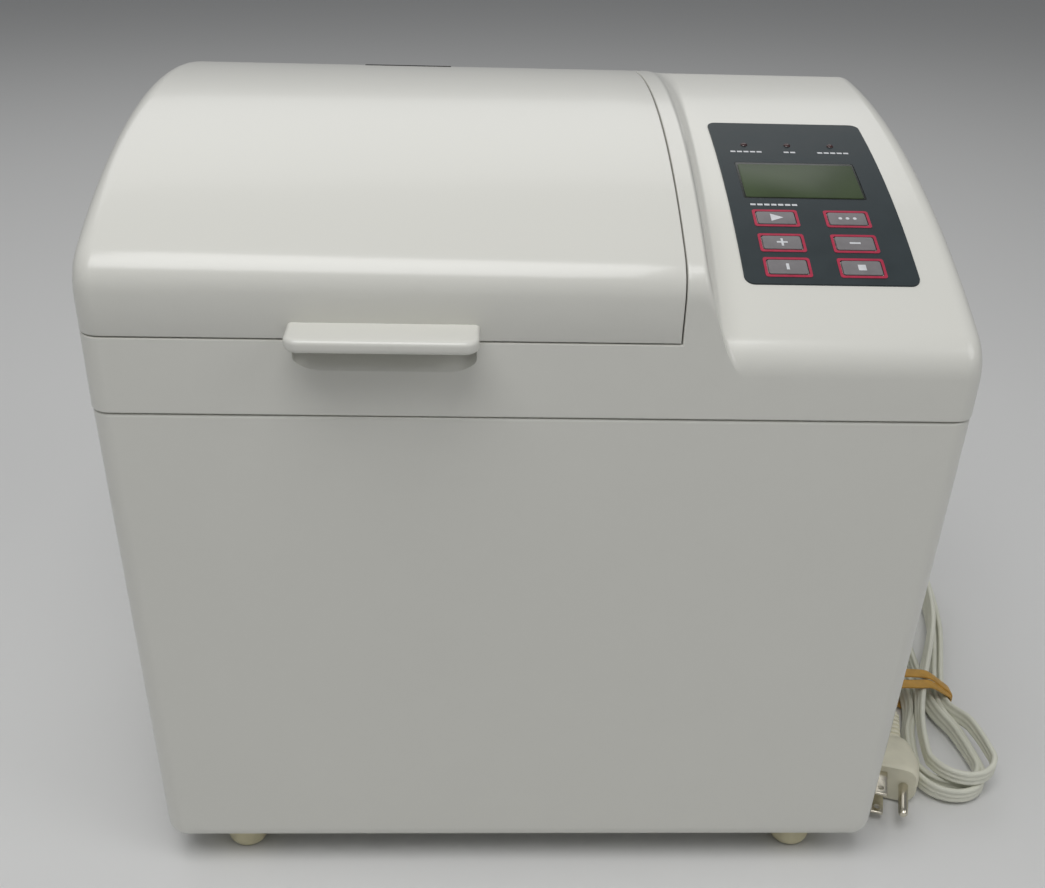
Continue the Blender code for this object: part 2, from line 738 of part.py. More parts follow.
def handle_solid():
    """The ledge moulded on the foot of the lid's front."""
    low = DECK_Z + HANDLE_LIFT
    half = HANDLE_WIDTH / 2
    outline = [(OVEN_X + half, WALL / 2), (OVEN_X - half, WALL / 2)]
    for side, start in ((-1, math.pi), (1, 1.5 * math.pi)):
        for a in arc_steps(start, start + math.pi / 2, 4):
            x = OVEN_X + side * (half - HANDLE_CORNER) + HANDLE_CORNER * math.cos(a)
            outline.append((x, HANDLE_CORNER - HANDLE_REACH + HANDLE_CORNER * math.sin(a)))
    return prism(outline, low, low + HANDLE_THICKNESS)


def vent_span(gap):
    back = BODY_DEPTH - VENT_FROM_BACK
    return back - VENT_WIDTH / 2 + gap, back + VENT_WIDTH / 2 - gap


def make_steam_vent():
    span = vent_span(TOUCH_GAP)
    half = VENT_LENGTH / 2 - TOUCH_GAP
    slab = crown_slab(lid_crown, -WALL, TOUCH_GAP, *span, OVEN_X - half, OVEN_X + half, 3)
    vent = place(slab, "steam_vent", dark_plastic)
    pitch = VENT_LENGTH / (VENT_SLOTS + 1)
    for i in range(VENT_SLOTS):
        x = OVEN_X + pitch * (i + 1 - (VENT_SLOTS + 1) / 2)
        slot = box(
            (x - VENT_SLOT_WIDTH / 2, span[0] + WALL, DECK_Z + BAND_HEIGHT),
            (x + VENT_SLOT_WIDTH / 2, span[1] - WALL, DECK_Z + BODY_DEPTH),
        )
        cut(vent, guide(slot, f"vent_slot_{i}"))
    return vent


def liner_dome(wall):
    """The raised middle of the lid's liner, as a solid thinner by wall."""
    half_x, half_y = OVEN_HALF_X + DOME_MARGIN_X - wall, OVEN_HALF_Y + DOME_MARGIN_Y - wall
    outline = rounded((OVEN_X, OVEN_Y), half_x, half_y, OVEN_CORNER)
    name = "liner_dome_inner" if wall else "liner_dome_outer"
    return guide(prism(outline, DECK_Z - wall, DECK_Z + BODY_DEPTH), name)


def liner_slab(wall):
    depth = WALL + LINER_DROP + wall
    return crown_slab(lid_crown, -DECK_Z, -depth, 0.0, BODY_DEPTH, -HALF_WIDTH, LID_RIGHT, 10)


def make_lid_liner():
    low = DECK_Z + 2 * LID_GAP + TOUCH_GAP
    left, right = -HALF_WIDTH + WALL + TOUCH_GAP, LID_RIGHT - WALL - TOUCH_GAP
    front, back = WALL + TOUCH_GAP, HINGE_Y - HINGE_RADIUS - TOUCH_GAP - LINER_BACK_GAP
    middle = ((left + right) / 2, (front + back) / 2)
    outline = rounded(middle, (right - left) / 2, (back - front) / 2, EDGE_RADIUS - WALL)
    hinge = (OVEN_X, HINGE_Y, HINGE_Z)
    liner = place(prism(outline, low, low + LINER_THICKNESS), "lid_liner", bright_metal, origin=hinge)
    outer = liner_dome(0.0)
    common(outer, guide(liner_slab(0.0), "liner_slab_outer"))
    low_cut = box((-BODY_WIDTH, -BODY_DEPTH, 0), (BODY_WIDTH, 2 * BODY_DEPTH, low + LINER_THICKNESS / 2))
    cut(outer, guide(low_cut, "liner_dome_floor"))
    join(liner, outer)
    inner = liner_dome(LINER_THICKNESS)
    common(inner, guide(liner_slab(LINER_THICKNESS), "liner_slab_inner"))
    cut(liner, inner)
    return liner


def make_hinge_pin(side, x):
    half = HINGE_PIN_LENGTH / 2
    pin = rod((x, HINGE_Y, HINGE_Z), HINGE_PIN_RADIUS, -half, half, "X", 16)
    return place(pin, f"hinge_pin_{side}", bright_metal)


# ---- control panel ----
def label_span(gap):
    return LABEL_FRONT - gap, LABEL_FRONT + LABEL_LENGTH + gap


def label_prism(gap):
    middle = (LABEL_X, LABEL_FRONT + LABEL_LENGTH / 2)
    outline = rounded(middle, LABEL_WIDTH / 2 + gap, LABEL_LENGTH / 2 + gap, LABEL_CORNER)
    return prism(outline, DECK_Z - BAND_HEIGHT, DECK_Z + BODY_DEPTH)


def label_slab(low, high, gap):
    sides = (LABEL_X - LABEL_WIDTH, LABEL_X + LABEL_WIDTH)
    return crown_slab(panel_crown, low, high, *label_span(gap), *sides)


def display_place():
    return LABEL_X - KEY_BLOCK_SHIFT, LABEL_FRONT + DISPLAY_FROM_LABEL_FRONT


def key_places():
    for row, names in zip(KEY_ROWS_FROM_LABEL_FRONT, KEY_NAMES):
        for side, name in zip((-1, 1), names):
            yield name, LABEL_X - KEY_BLOCK_SHIFT + side * KEY_PITCH_ACROSS / 2, LABEL_FRONT + row


def lamp_places():
    for i in range(3):
        yield f"lamp_{i + 1}", LABEL_X - KEY_BLOCK_SHIFT + (i - 1) * LAMP_PITCH, LABEL_FRONT + LAMP_FROM_LABEL_FRONT


def panel_box(width, length, low, high):
    """A block drawn on the panel's own axes, with its middle on the panel's surface."""
    return prism(rounded((0, 0), width / 2, length / 2, KEY_CORNER, 2), low, high)


def panel_hole(bm, name, x, y):
    top, tilt = on_panel(y)
    hole = guide(bm, name)
    hole.location, hole.rotation_euler = (x, y, top), (tilt, 0, 0)
    return hole


def cut_panel_holes(obj, owner):
    """Openings for the display, the keys and the lamps, square to the panel."""
    block = panel_box(DISPLAY_WIDTH, DISPLAY_LENGTH, -HOLE_REACH, HOLE_REACH)
    cut(obj, panel_hole(block, f"{owner}_display_hole", *display_place()))
    for name, x, y in key_places():
        block = panel_box(KEY_WIDTH + 2 * KEY_GAP, KEY_LENGTH + 2 * KEY_GAP, -HOLE_REACH, HOLE_REACH)
        cut(obj, panel_hole(block, f"{owner}_{name}_hole", x, y))
    for name, x, y in lamp_places():
        bore = rod((0, 0, 0), LAMP_RADIUS + TOUCH_GAP, -HOLE_REACH, HOLE_REACH, count=12)
        cut(obj, panel_hole(bore, f"{owner}_{name}_hole", x, y))


def make_control_label():
    low = -LABEL_SINK + TOUCH_GAP
    label = place(label_slab(low, low + LABEL_THICKNESS, 0.0), "control_label", slate_film)
    common(label, guide(label_prism(0.0), "label_outline"))
    cut_panel_holes(label, "label")
    return label


def on_panel_object(bm, name, make_material, x, y):
    top, tilt = on_panel(y)
    obj = place(bm, name, make_material)
    obj.location = (x, y, top)
    obj.rotation_euler = (tilt, 0, 0)
    return obj


def make_display():
    x, y = display_place()
    width, length = DISPLAY_WIDTH - 2 * TOUCH_GAP, DISPLAY_LENGTH - 2 * TOUCH_GAP
    top = LABEL_THICKNESS - LABEL_SINK
    lens = panel_box(width, length, top - LENS_THICKNESS, top)
    on_panel_object(lens, "display_lens", clear_plastic, x, y)
    panel = panel_box(width, length, -KEY_DEPTH, top - LENS_THICKNESS - TOUCH_GAP)
    on_panel_object(panel, "display_panel", display_film, x, y)


def make_keys():
    for name, x, y in key_places():
        on_panel_object(panel_box(KEY_WIDTH, KEY_LENGTH, -KEY_DEPTH, KEY_STAND), name, grey_plastic, x, y)


def make_lamps():
    profile = [(LAMP_RADIUS, -LAMP_DEPTH), (LAMP_RADIUS, LAMP_STAND / 2), (LAMP_RADIUS / 2, LAMP_STAND)]
    for name, x, y in lamp_places():
        on_panel_object(turned(profile, (0, 0, 0), 12), name, lamp_plastic, x, y)


def make_control_board():
    board = panel_box(LABEL_WIDTH, LABEL_LENGTH * BOARD_SHARE, -BOARD_THICKNESS - BOARD_DROP, -BOARD_DROP)
    on_panel_object(board, "control_board", green_board, LABEL_X, LABEL_FRONT + LABEL_LENGTH / 2)


# ---- oven and pan ----
def oven_outline(grow):
    return rounded((OVEN_X, OVEN_Y), OVEN_HALF_X + grow, OVEN_HALF_Y + grow, OVEN_CORNER + grow)


def make_oven_chamber():
    oven = place(prism(oven_outline(OVEN_WALL), OVEN_FLOOR, OVEN_TOP), "oven_chamber", bright_metal)
    join(oven, guide(prism(oven_outline(OVEN_FLANGE), OVEN_TOP - OVEN_WALL, OVEN_TOP), "oven_flange"))
    cut(oven, guide(prism(oven_outline(0.0), OVEN_FLOOR + OVEN_WALL, OVEN_TOP + WALL), "oven_inside"))
    bore = rod((OVEN_X, OVEN_Y, 0), SHAFT_RADIUS + OVEN_BORE_GAP, OVEN_FLOOR - WALL, OVEN_FLOOR + WALL)
    cut(oven, guide(bore, "oven_shaft_hole"))
    for index, y in enumerate(element_ends()):
        spot = (OVEN_X + OVEN_HALF_X, y, element_z())
        hole = rod(spot, ELEMENT_RADIUS + TOUCH_GAP, -ELEMENT_STUB, ELEMENT_STUB, "X", 12)
        cut(oven, guide(hole, f"oven_element_hole_{index}"))
    return oven


def element_z():
    return PAN_Z + ELEMENT_HEIGHT


def element_ends():
    return OVEN_Y - ELEMENT_TERMINALS / 2, OVEN_Y + ELEMENT_TERMINALS / 2


def make_heating_element():
    """A round rod bent once round the foot of the pan, its two ends out through the oven's right wall."""
    grow = ELEMENT_GAP + ELEMENT_RADIUS
    half_x, half_y = PAN_HALF_X + grow, PAN_HALF_Y + grow
    right, outside = OVEN_X + half_x, OVEN_X + OVEN_HALF_X + OVEN_WALL + ELEMENT_STUB
    near, far = element_ends()
    loop = rounded((OVEN_X, OVEN_Y), half_x, half_y, PAN_CORNER, 5)
    lead_in = [(outside, far), (right + ELEMENT_TURN, far), (right, far + ELEMENT_TURN)]
    lead_out = [(right, near - ELEMENT_TURN), (right + ELEMENT_TURN, near), (outside, near)]
    points = [(x, y, element_z()) for x, y in lead_in + loop + lead_out]
    return wire(points, "heating_element", coated_metal, ELEMENT_RADIUS, 2)


def wire(points, name, make_material, radius, resolution):
    """A round rod or cord along points, with flat ends."""
    data = bpy.data.curves.new(name, "CURVE")
    data.dimensions = "3D"
    data.bevel_depth = radius
    data.bevel_resolution = resolution
    data.use_fill_caps = True
    spline = data.splines.new("POLY")
    spline.points.add(len(points) - 1)
    for point, spot in zip(spline.points, points):
        point.co = (*spot, 1.0)
    obj = bpy.data.objects.new(name, data)
    bpy.context.scene.collection.objects.link(obj)
    obj.parent = machine
    data.materials.append(make_material(name))
    return obj


def make_temperature_sensor():
    front = OVEN_Y - OVEN_HALF_Y + TOUCH_GAP
    profile = [
        (SENSOR_RADIUS, 0),
        (SENSOR_RADIUS, SENSOR_LENGTH - SENSOR_TIP),
        (SENSOR_RADIUS - SENSOR_TIP, SENSOR_LENGTH),
    ]
    probe = turned(profile, (OVEN_X, front, PAN_Z + SENSOR_HEIGHT), 16, "Y")
    place(probe, "temperature_sensor", bright_metal)


def ring_solid(center, outer, inner, low, high, name, make_material, count=32, **options):
    ring = place(rod((*center, 0), outer, low, high, count=count), name, make_material, **options)
    cut(ring, guide(rod((*center, 0), inner, low - WALL, high + WALL, count=count), f"{name}_bore"))
    return ring


def make_pan_socket():
    outer = PAN_FOOT_RADIUS + TOUCH_GAP + SOCKET_WALL
    top = PAN_Z - SOCKET_RIM_GAP
    socket = place(rod((OVEN_X, OVEN_Y, 0), outer, SOCKET_Z, top, count=32), "pan_socket", bright_metal)
    well = rod((OVEN_X, OVEN_Y, 0), PAN_FOOT_RADIUS + TOUCH_GAP, SOCKET_Z + SOCKET_WALL, top + WALL, count=32)
    cut(socket, guide(well, "socket_well"))
    bore = rod((OVEN_X, OVEN_Y, 0), COUPLING_RADIUS + CHASSIS_BORE_GAP, SOCKET_Z - WALL, SOCKET_Z + 2 * WALL)
    cut(socket, guide(bore, "socket_bore"))
    return socket


def pan_outline(grow):
    return rounded((OVEN_X, OVEN_Y), PAN_HALF_X + grow, PAN_HALF_Y + grow, PAN_CORNER + grow)


def bail_z():
    return PAN_TOP - BAIL_DROP


def bail_inner_half():
    return PAN_HALF_X + PAN_RIM + BAIL_SIDE_GAP


def make_bread_pan():
    origin = (OVEN_X, OVEN_Y, PAN_Z)
    pan = place(prism(pan_outline(0.0), PAN_Z, PAN_TOP), "bread_pan", coated_metal, origin=origin)
    join(pan, guide(prism(pan_outline(PAN_RIM), PAN_TOP - PAN_RIM_THICKNESS, PAN_TOP), "pan_rim"))
    foot = rod((OVEN_X, OVEN_Y, 0), PAN_FOOT_RADIUS, PAN_FOOT_Z, PAN_Z + PAN_FLOOR / 2, count=32)
    join(pan, guide(foot, "pan_foot"))
    stub = rod((OVEN_X, OVEN_Y, bail_z()), STUB_RADIUS, -stub_end(), stub_end(), "X", 16)
    join(pan, guide(stub, "pan_stubs"))
    cut(pan, guide(prism(pan_outline(-PAN_WALL), PAN_Z + PAN_FLOOR, PAN_TOP + WALL), "pan_inside"))
    well = rod((OVEN_X, OVEN_Y, 0), PAN_FOOT_RADIUS - PAN_FOOT_WALL, PAN_FOOT_Z - WALL, PAN_Z, count=32)
    cut(pan, guide(well, "pan_foot_well"))
    bore = rod((OVEN_X, OVEN_Y, 0), SHAFT_RADIUS + RUNNING_GAP, PAN_FOOT_Z, PADDLE_Z + WALL, count=20)
    cut(pan, guide(bore, "pan_shaft_hole"))
    return pan


def stub_end():
    return bail_inner_half() + BAIL_THICKNESS + STUB_STAND


def bail_inner_reach():
    return PAN_HALF_Y + PAN_RIM + BAIL_RIM_GAP


def bail_rest_angle():
    """How far below level the handle hangs when it rests against the pan's front wall."""
    half_wide = BAIL_WIDTH / 2
    corner = math.hypot(bail_inner_reach(), half_wide)
    return math.acos((PAN_HALF_Y + TOUCH_GAP) / corner) - math.atan2(half_wide, bail_inner_reach())


def make_pan_handle():
    """A flat strap bent round the pan's rim. Its eyes turn on the pan's two stubs."""
    inner = bail_inner_reach()
    outer_x = bail_inner_half() + BAIL_THICKNESS
    half_wide = BAIL_WIDTH / 2
    origin = (OVEN_X, OVEN_Y, bail_z())
    outline = rounded((OVEN_X, OVEN_Y), outer_x, inner + BAIL_THICKNESS, BAIL_CORNER + WALL / 2)
    frame = prism(outline, bail_z() - half_wide, bail_z() + half_wide)
    bail = place(frame, "pan_handle", bright_metal, origin=origin, turn_x=bail_rest_angle())
    back = box((-BODY_WIDTH, OVEN_Y, 0), (BODY_WIDTH, 2 * BODY_DEPTH, BODY_WIDTH))
    cut(bail, tilted(guide(back, "bail_open_side", origin=origin)))
    eyes = rod((OVEN_X, OVEN_Y, bail_z()), STUB_RADIUS + EYE_WALL, -outer_x, outer_x, "X", 20)
    join(bail, tilted(guide(eyes, "bail_eyes", origin=origin)))
    inside = prism(rounded((OVEN_X, OVEN_Y), bail_inner_half(), inner, BAIL_CORNER), 0, BODY_WIDTH)
    cut(bail, tilted(guide(inside, "bail_inside", origin=origin)))
    bore = rod((OVEN_X, OVEN_Y, bail_z()), STUB_RADIUS + RUNNING_GAP, -BODY_WIDTH, BODY_WIDTH, "X", 16)
    cut(bail, tilted(guide(bore, "bail_bore", origin=origin)))
    return bail


def tilted(obj):
    obj.rotation_euler = (bail_rest_angle(), 0, 0)
    return obj


def make_pan_shaft():
    """Spindle through the pan's floor with the driven bar under it."""
    origin = (OVEN_X, OVEN_Y, PAN_Z)
    low = COUPLING_Z + COUPLING_THICKNESS + DRIVEN_BAR_GAP
    top = PADDLE_Z + PADDLE_HUB_HEIGHT - PADDLE_CAP - TOUCH_GAP
    rod_shape = rod((OVEN_X, OVEN_Y, 0), SHAFT_RADIUS, low, top, count=20)
    spindle = place(rod_shape, "pan_shaft", bright_metal, origin=origin)
    half, wide = COUPLING_RADIUS - DRIVEN_BAR_MARGIN, COUPLING_LUG_WIDTH / 2
    bar = box((OVEN_X - half, OVEN_Y - wide, low), (OVEN_X + half, OVEN_Y + wide, low + DRIVEN_BAR_HEIGHT))
    join(spindle, guide(bar, "shaft_bar"))
    return spindle


def make_shaft_seal():
    low = PAN_Z + PAN_FLOOR + TOUCH_GAP
    inner, outer = SHAFT_RADIUS + RUNNING_GAP, SHAFT_RADIUS + SEAL_WALL
    ring_solid((OVEN_X, OVEN_Y), outer, inner, low, low + SEAL_HEIGHT, "shaft_seal", dark_plastic, 20)


def make_kneading_paddle():
    origin = (OVEN_X, OVEN_Y, PADDLE_Z)
    profile = [
        (PADDLE_HUB_RADIUS, PADDLE_Z),
        (PADDLE_HUB_RADIUS, PADDLE_Z + PADDLE_HUB_HEIGHT - PADDLE_CAP),
        (PADDLE_HUB_RADIUS - PADDLE_CAP, PADDLE_Z + PADDLE_HUB_HEIGHT),
    ]
    paddle = place(turned(profile, (OVEN_X, OVEN_Y, 0), 20), "kneading_paddle", coated_metal, origin=origin)
    half = PADDLE_THICKNESS / 2
    fin = [
        (OVEN_X, PADDLE_Z),
        (OVEN_X + PADDLE_REACH, PADDLE_Z),
        (OVEN_X + PADDLE_REACH, PADDLE_Z + PADDLE_HUB_HEIGHT * 0.6),
        (OVEN_X + PADDLE_REACH * 0.6, PADDLE_Z + PADDLE_HUB_HEIGHT * 0.9),
        (OVEN_X, PADDLE_Z + PADDLE_HUB_HEIGHT * 0.9),
    ]
    join(paddle, guide(prism(fin, OVEN_Y - half, OVEN_Y + half, "Y"), "paddle_fin"))
    top = PADDLE_Z + PADDLE_HUB_HEIGHT - PADDLE_CAP
    bore = rod((OVEN_X, OVEN_Y, 0), SHAFT_RADIUS + TOUCH_GAP, PADDLE_Z - WALL, top, count=20)
    cut(paddle, guide(bore, "paddle_bore"))
    return paddle


# ---- drive ----
def make_chassis():
    """A steel channel: a shelf for the oven's bearing and the motor, on a flange front and back."""
    front, back = CHASSIS_FRONT_MARGIN, BODY_DEPTH - CHASSIS_FRONT_MARGIN
    low, thick = PLATE_TOP + TOUCH_GAP, PLATE_THICKNESS
    outline = [
        (front, low), (front + thick, low), (front + thick, CHASSIS_TOP - thick),
        (back - thick, CHASSIS_TOP - thick), (back - thick, low), (back, low),
        (back, CHASSIS_TOP), (front, CHASSIS_TOP),
    ]
    half = HALF_WIDTH - CHASSIS_SIDE_MARGIN
    chassis = place(prism(outline, -half, half, "X"), "chassis", bright_metal)
    for name, x in (("drive", OVEN_X), ("motor", MOTOR_X)):
        radius = SHAFT_RADIUS + CHASSIS_BORE_GAP
        bore = rod((x, OVEN_Y, 0), radius, CHASSIS_TOP - 2 * WALL, CHASSIS_TOP + WALL, count=20)
        cut(chassis, guide(bore, f"chassis_{name}_hole"))
    return chassis


def make_bearing():
    low, inner = CHASSIS_TOP + TOUCH_GAP, SHAFT_RADIUS + RUNNING_GAP
    ring_solid((OVEN_X, OVEN_Y), BEARING_RADIUS, inner, low, BEARING_TOP, "drive_bearing", bright_metal)


def make_drive_shaft():
    """Shaft with the driving disc and its two upright lugs on top."""
    origin = (OVEN_X, OVEN_Y, COUPLING_Z)
    low = PULLEY_Z - PULLEY_THICKNESS / 2 - SHAFT_END
    top = COUPLING_Z + COUPLING_THICKNESS
    profile = [(SHAFT_RADIUS, low), (SHAFT_RADIUS, COUPLING_Z)]
    profile += [(COUPLING_RADIUS, COUPLING_Z), (COUPLING_RADIUS, top)]
    shaft = place(turned(profile, (OVEN_X, OVEN_Y, 0), 24), "drive_shaft", bright_metal, origin=origin)
    half, high = COUPLING_LUG_WIDTH / 2, top + COUPLING_LUG_HEIGHT
    near, far = COUPLING_LUG_INNER, COUPLING_RADIUS - ROTOR_END_GAP
    for name, start, end in (("front", -far, -near), ("back", near, far)):
        lug = box((OVEN_X - half, OVEN_Y + start, COUPLING_Z + WALL), (OVEN_X + half, OVEN_Y + end, high))
        join(shaft, guide(lug, f"drive_lug_{name}"))
    return shaft


def pulley_profile(radius):
    half = PULLEY_THICKNESS / 2
    groove = radius - BELT_THICKNESS - BELT_INSET
    return [
        (radius, PULLEY_Z - half), (radius, PULLEY_Z - half + PULLEY_FLANGE),
        (groove, PULLEY_Z - half + PULLEY_FLANGE), (groove, PULLEY_Z + half - PULLEY_FLANGE),
        (radius, PULLEY_Z + half - PULLEY_FLANGE), (radius, PULLEY_Z + half),
    ]


def make_drive_pulley():
    origin = (OVEN_X, OVEN_Y, PULLEY_Z)
    disc = turned(pulley_profile(PULLEY_RADIUS), (OVEN_X, OVEN_Y, 0), 40)
    pulley = place(disc, "drive_pulley", grey_plastic, origin=origin)
    reach = PULLEY_THICKNESS
    bore = rod((OVEN_X, OVEN_Y, 0), SHAFT_RADIUS + TOUCH_GAP, PULLEY_Z - reach, PULLEY_Z + reach, count=20)
    cut(pulley, guide(bore, "pulley_bore"))
    middle = (SHAFT_RADIUS + PULLEY_RADIUS) / 2
    for i in range(PULLEY_WINDOWS):
        a = 2 * math.pi * i / PULLEY_WINDOWS
        spot = (OVEN_X + middle * math.cos(a), OVEN_Y + middle * math.sin(a), 0)
        window = rod(spot, PULLEY_WINDOW_RADIUS, PULLEY_Z - reach, PULLEY_Z + reach, count=12)
        cut(pulley, guide(window, f"pulley_window_{i}"))
    return pulley


def make_motor_rotor():
    """The motor's output shaft, in one piece with its small pulley."""
    top = CHASSIS_TOP + TOUCH_GAP + ROTOR_REACH
    profile = pulley_profile(MOTOR_PULLEY_RADIUS)
    profile += [(SHAFT_RADIUS, PULLEY_Z + PULLEY_THICKNESS / 2), (SHAFT_RADIUS, top)]
    rotor = turned(profile, (MOTOR_X, OVEN_Y, 0), 20)
    place(rotor, "motor_rotor", bright_metal, origin=(MOTOR_X, OVEN_Y, PULLEY_Z))


def make_motor():
    low = CHASSIS_TOP + TOUCH_GAP
    top = low + MOTOR_HEIGHT
    profile = [
        (MOTOR_RADIUS, low), (MOTOR_RADIUS, top - MOTOR_CHAMFER), (MOTOR_RADIUS - MOTOR_CHAMFER, top),
        (MOTOR_CAP_RADIUS, top), (MOTOR_CAP_RADIUS, top + MOTOR_CAP_HEIGHT),
    ]
    motor = place(turned(profile, (MOTOR_X, OVEN_Y, 0), 28), "motor", bright_metal)
    end = low + ROTOR_REACH + ROTOR_END_GAP
    bore = rod((MOTOR_X, OVEN_Y, 0), SHAFT_RADIUS + RUNNING_GAP, low - WALL, end, count=20)
    cut(motor, guide(bore, "motor_bore"))


def belt_outline(grow):
    """Both pulleys' grooves and the straight runs between them, a given distance out."""
    big = PULLEY_RADIUS - BELT_THICKNESS - BELT_INSET + grow
    small = MOTOR_PULLEY_RADIUS - BELT_THICKNESS - BELT_INSET + grow
    lean = math.acos((big - small) / (MOTOR_X - OVEN_X))
    outline = []
    for a in arc_steps(lean, 2 * math.pi - lean, 26):
        outline.append((OVEN_X + big * math.cos(a), OVEN_Y + big * math.sin(a)))
    for a in arc_steps(-lean, lean, 10):
        outline.append((MOTOR_X + small * math.cos(a), OVEN_Y + small * math.sin(a)))
    return outline


def make_drive_belt():
    half = PULLEY_THICKNESS / 2 - PULLEY_FLANGE - BELT_SIDE_GAP
    outer = prism(belt_outline(BELT_SIDE_GAP + BELT_THICKNESS), PULLEY_Z - half, PULLEY_Z + half)
    inner = prism(belt_outline(BELT_SIDE_GAP), PULLEY_Z - PULLEY_THICKNESS, PULLEY_Z + PULLEY_THICKNESS)
    cut(place(outer, "drive_belt", dark_plastic), guide(inner, "belt_inside"))


def make_power_parts():
    low = CHASSIS_TOP + TOUCH_GAP
    wide, deep, tall = TRANSFORMER_SIZE
    front = CHASSIS_FRONT_MARGIN + TRANSFORMER_FROM_CHASSIS
    block = box((MOTOR_X - wide / 2, front, low), (MOTOR_X + wide / 2, front + deep, low + tall))
    place(block, "transformer", coated_metal)
    wide, tall = POWER_BOARD_SIZE
    back = BODY_DEPTH - CHASSIS_FRONT_MARGIN - POWER_BOARD_FROM_CHASSIS
    board = box((MOTOR_X - wide / 2, back, low), (MOTOR_X + wide / 2, back + BOARD_THICKNESS, low + tall))
    place(board, "power_board", green_board)


# ---- feet and screws ----
def make_feet():
    top = FOOT_HEIGHT - TOUCH_GAP
    profile = [(FOOT_RADIUS * wide, FOOT_HEIGHT * high) for wide, high in FOOT_PROFILE] + [(FOOT_RADIUS, top)]
    for x_side, x_name in ((-1, "left"), (1, "right")):
        for y, y_name in ((FOOT_FROM_FRONT, "front"), (BODY_DEPTH - FOOT_FROM_FRONT, "rear")):
            spot = (x_side * (HALF_WIDTH - FOOT_FROM_SIDE), y, 0)
            place(turned(profile, spot, 20), f"foot_{y_name}_{x_name}", cream_rubber)


def make_screws():
    top = FOOT_HEIGHT - TOUCH_GAP
    profile = [
        (SCREW_HEAD_RADIUS - SCREW_CHAMFER, top - SCREW_HEAD_HEIGHT),
        (SCREW_HEAD_RADIUS, top - SCREW_HEAD_HEIGHT / 2),
        (SCREW_HEAD_RADIUS, top), (SCREW_RADIUS, top), (SCREW_RADIUS, top + SCREW_LENGTH),
    ]
    for index, (x, y) in enumerate(screw_places()):
        place(turned(profile, (x, y, 0), 12), f"base_screw_{index + 1}", bright_metal)


# ---- cord ----
def smooth_route(points, spacing):
    """Points a given distance apart on a smooth curve through the route's own points."""
    path = [Vector(p) for p in points]
    fine = []
    for i in range(len(path) - 1):
        before, start, end = path[max(i - 1, 0)], path[i], path[i + 1]
        after = path[min(i + 2, len(path) - 1)]
        for step in range(12):
            t = step / 12
            fine.append(0.5 * (
                2 * start + (end - before) * t
                + (2 * before - 5 * start + 4 * end - after) * t * t
                + (3 * start - before - 3 * end + after) * t * t * t
            ))
    fine.append(path[-1])
    lengths = [0.0]
    for a, b in zip(fine, fine[1:]):
        lengths.append(lengths[-1] + (b - a).length)
    count = max(2, round(lengths[-1] / spacing))
    even, at = [], 0
    for i in range(count + 1):
        goal = lengths[-1] * i / count
        while at < len(lengths) - 2 and lengths[at + 1] < goal:
            at += 1
        share = (goal - lengths[at]) / max(lengths[at + 1] - lengths[at], 1e-9)
        even.append(fine[at].lerp(fine[at + 1], min(share, 1.0)))
    return even


def make_strain_relief():
    x = HALF_WIDTH - RELIEF_FROM_RIGHT
    wall_in, wall_out = BODY_DEPTH - SEAM_INSET - WALL - TOUCH_GAP, BODY_DEPTH - SEAM_INSET + TOUCH_GAP
    profile = [
        (RELIEF_RADIUS + RELIEF_LIP, wall_in - RELIEF_FLANGE), (RELIEF_RADIUS + RELIEF_LIP, wall_in),
        (RELIEF_NECK_RADIUS, wall_in), (RELIEF_NECK_RADIUS, wall_out),
        (RELIEF_RADIUS, wall_out), (RELIEF_RADIUS, wall_out + RELIEF_COLLAR),
        (RELIEF_TIP_RADIUS, wall_out + RELIEF_LENGTH),
    ]
    place(turned(profile, (x, 0, RELIEF_HEIGHT), 20, "Y"), "strain_relief", cord_vinyl)


def make_cord_lead():
    wire(smooth_route(LEAD_ROUTE, CORD_SPACING), "cord_lead", cord_vinyl, CORD_WIDTH / 2, 2)


def hank_outline():
    """Plan of the folded hank: round folds front and rear, drawn in where the band holds it."""
    (wx, wy), half = HANK_WAIST, HANK_WAIST_HALF
    front = fold_points(HANK_FRONT, HANK_FRONT_RADIUS, math.pi)
    rear = fold_points(HANK_REAR, HANK_REAR_RADIUS, 0.0)
    stations = (
        (*HANK_FRONT, HANK_FRONT_RADIUS),
        (wx, wy - BAND_WIDTH, half),
        (wx, wy + BAND_WIDTH, half),
        (*HANK_REAR, HANK_REAR_RADIUS),
    )
    right, left = [], []
    for start, end in zip(stations, stations[1:]):
        for i in range(1, 5):
            t = i / 4
            ease = t * t * (3 - 2 * t)
            x = start[0] + (end[0] - start[0]) * ease
            y = start[1] + (end[1] - start[1]) * t
            side = start[2] + (end[2] - start[2]) * ease
            right.append((x + side, y))
            left.append((x - side, y))
    return front + right[:-1] + rear + left[-2::-1]


def fold_points(center, radius, start):
    points = []
    for a in arc_steps(start, start + math.pi, 12):
        points.append((center[0] + radius * math.cos(a), center[1] + radius * math.sin(a)))
    return points


def make_cord_hank():
    place(prism(hank_outline(), HANK_BASE, HANK_TOP), "cord_hank", cord_vinyl)


def make_cord_band():
    """The rubber band round the hank's waist."""
    x, y = HANK_WAIST
    half = HANK_WAIST_HALF + TOUCH_GAP
    middle = (x, (HANK_BASE + HANK_TOP) / 2)
    half_tall = (HANK_TOP - HANK_BASE) / 2 + TOUCH_GAP
    outer = rounded(middle, half + BAND_THICKNESS, half_tall + BAND_THICKNESS, BAND_CORNER)
    band = place(prism(outer, y - BAND_WIDTH / 2, y + BAND_WIDTH / 2, "Y"), "cord_band", band_rubber)
    inner = rounded(middle, half, half_tall, 0.0002, 1)
    cut(band, guide(prism(inner, y - BAND_WIDTH, y + BAND_WIDTH, "Y"), "band_inside"))


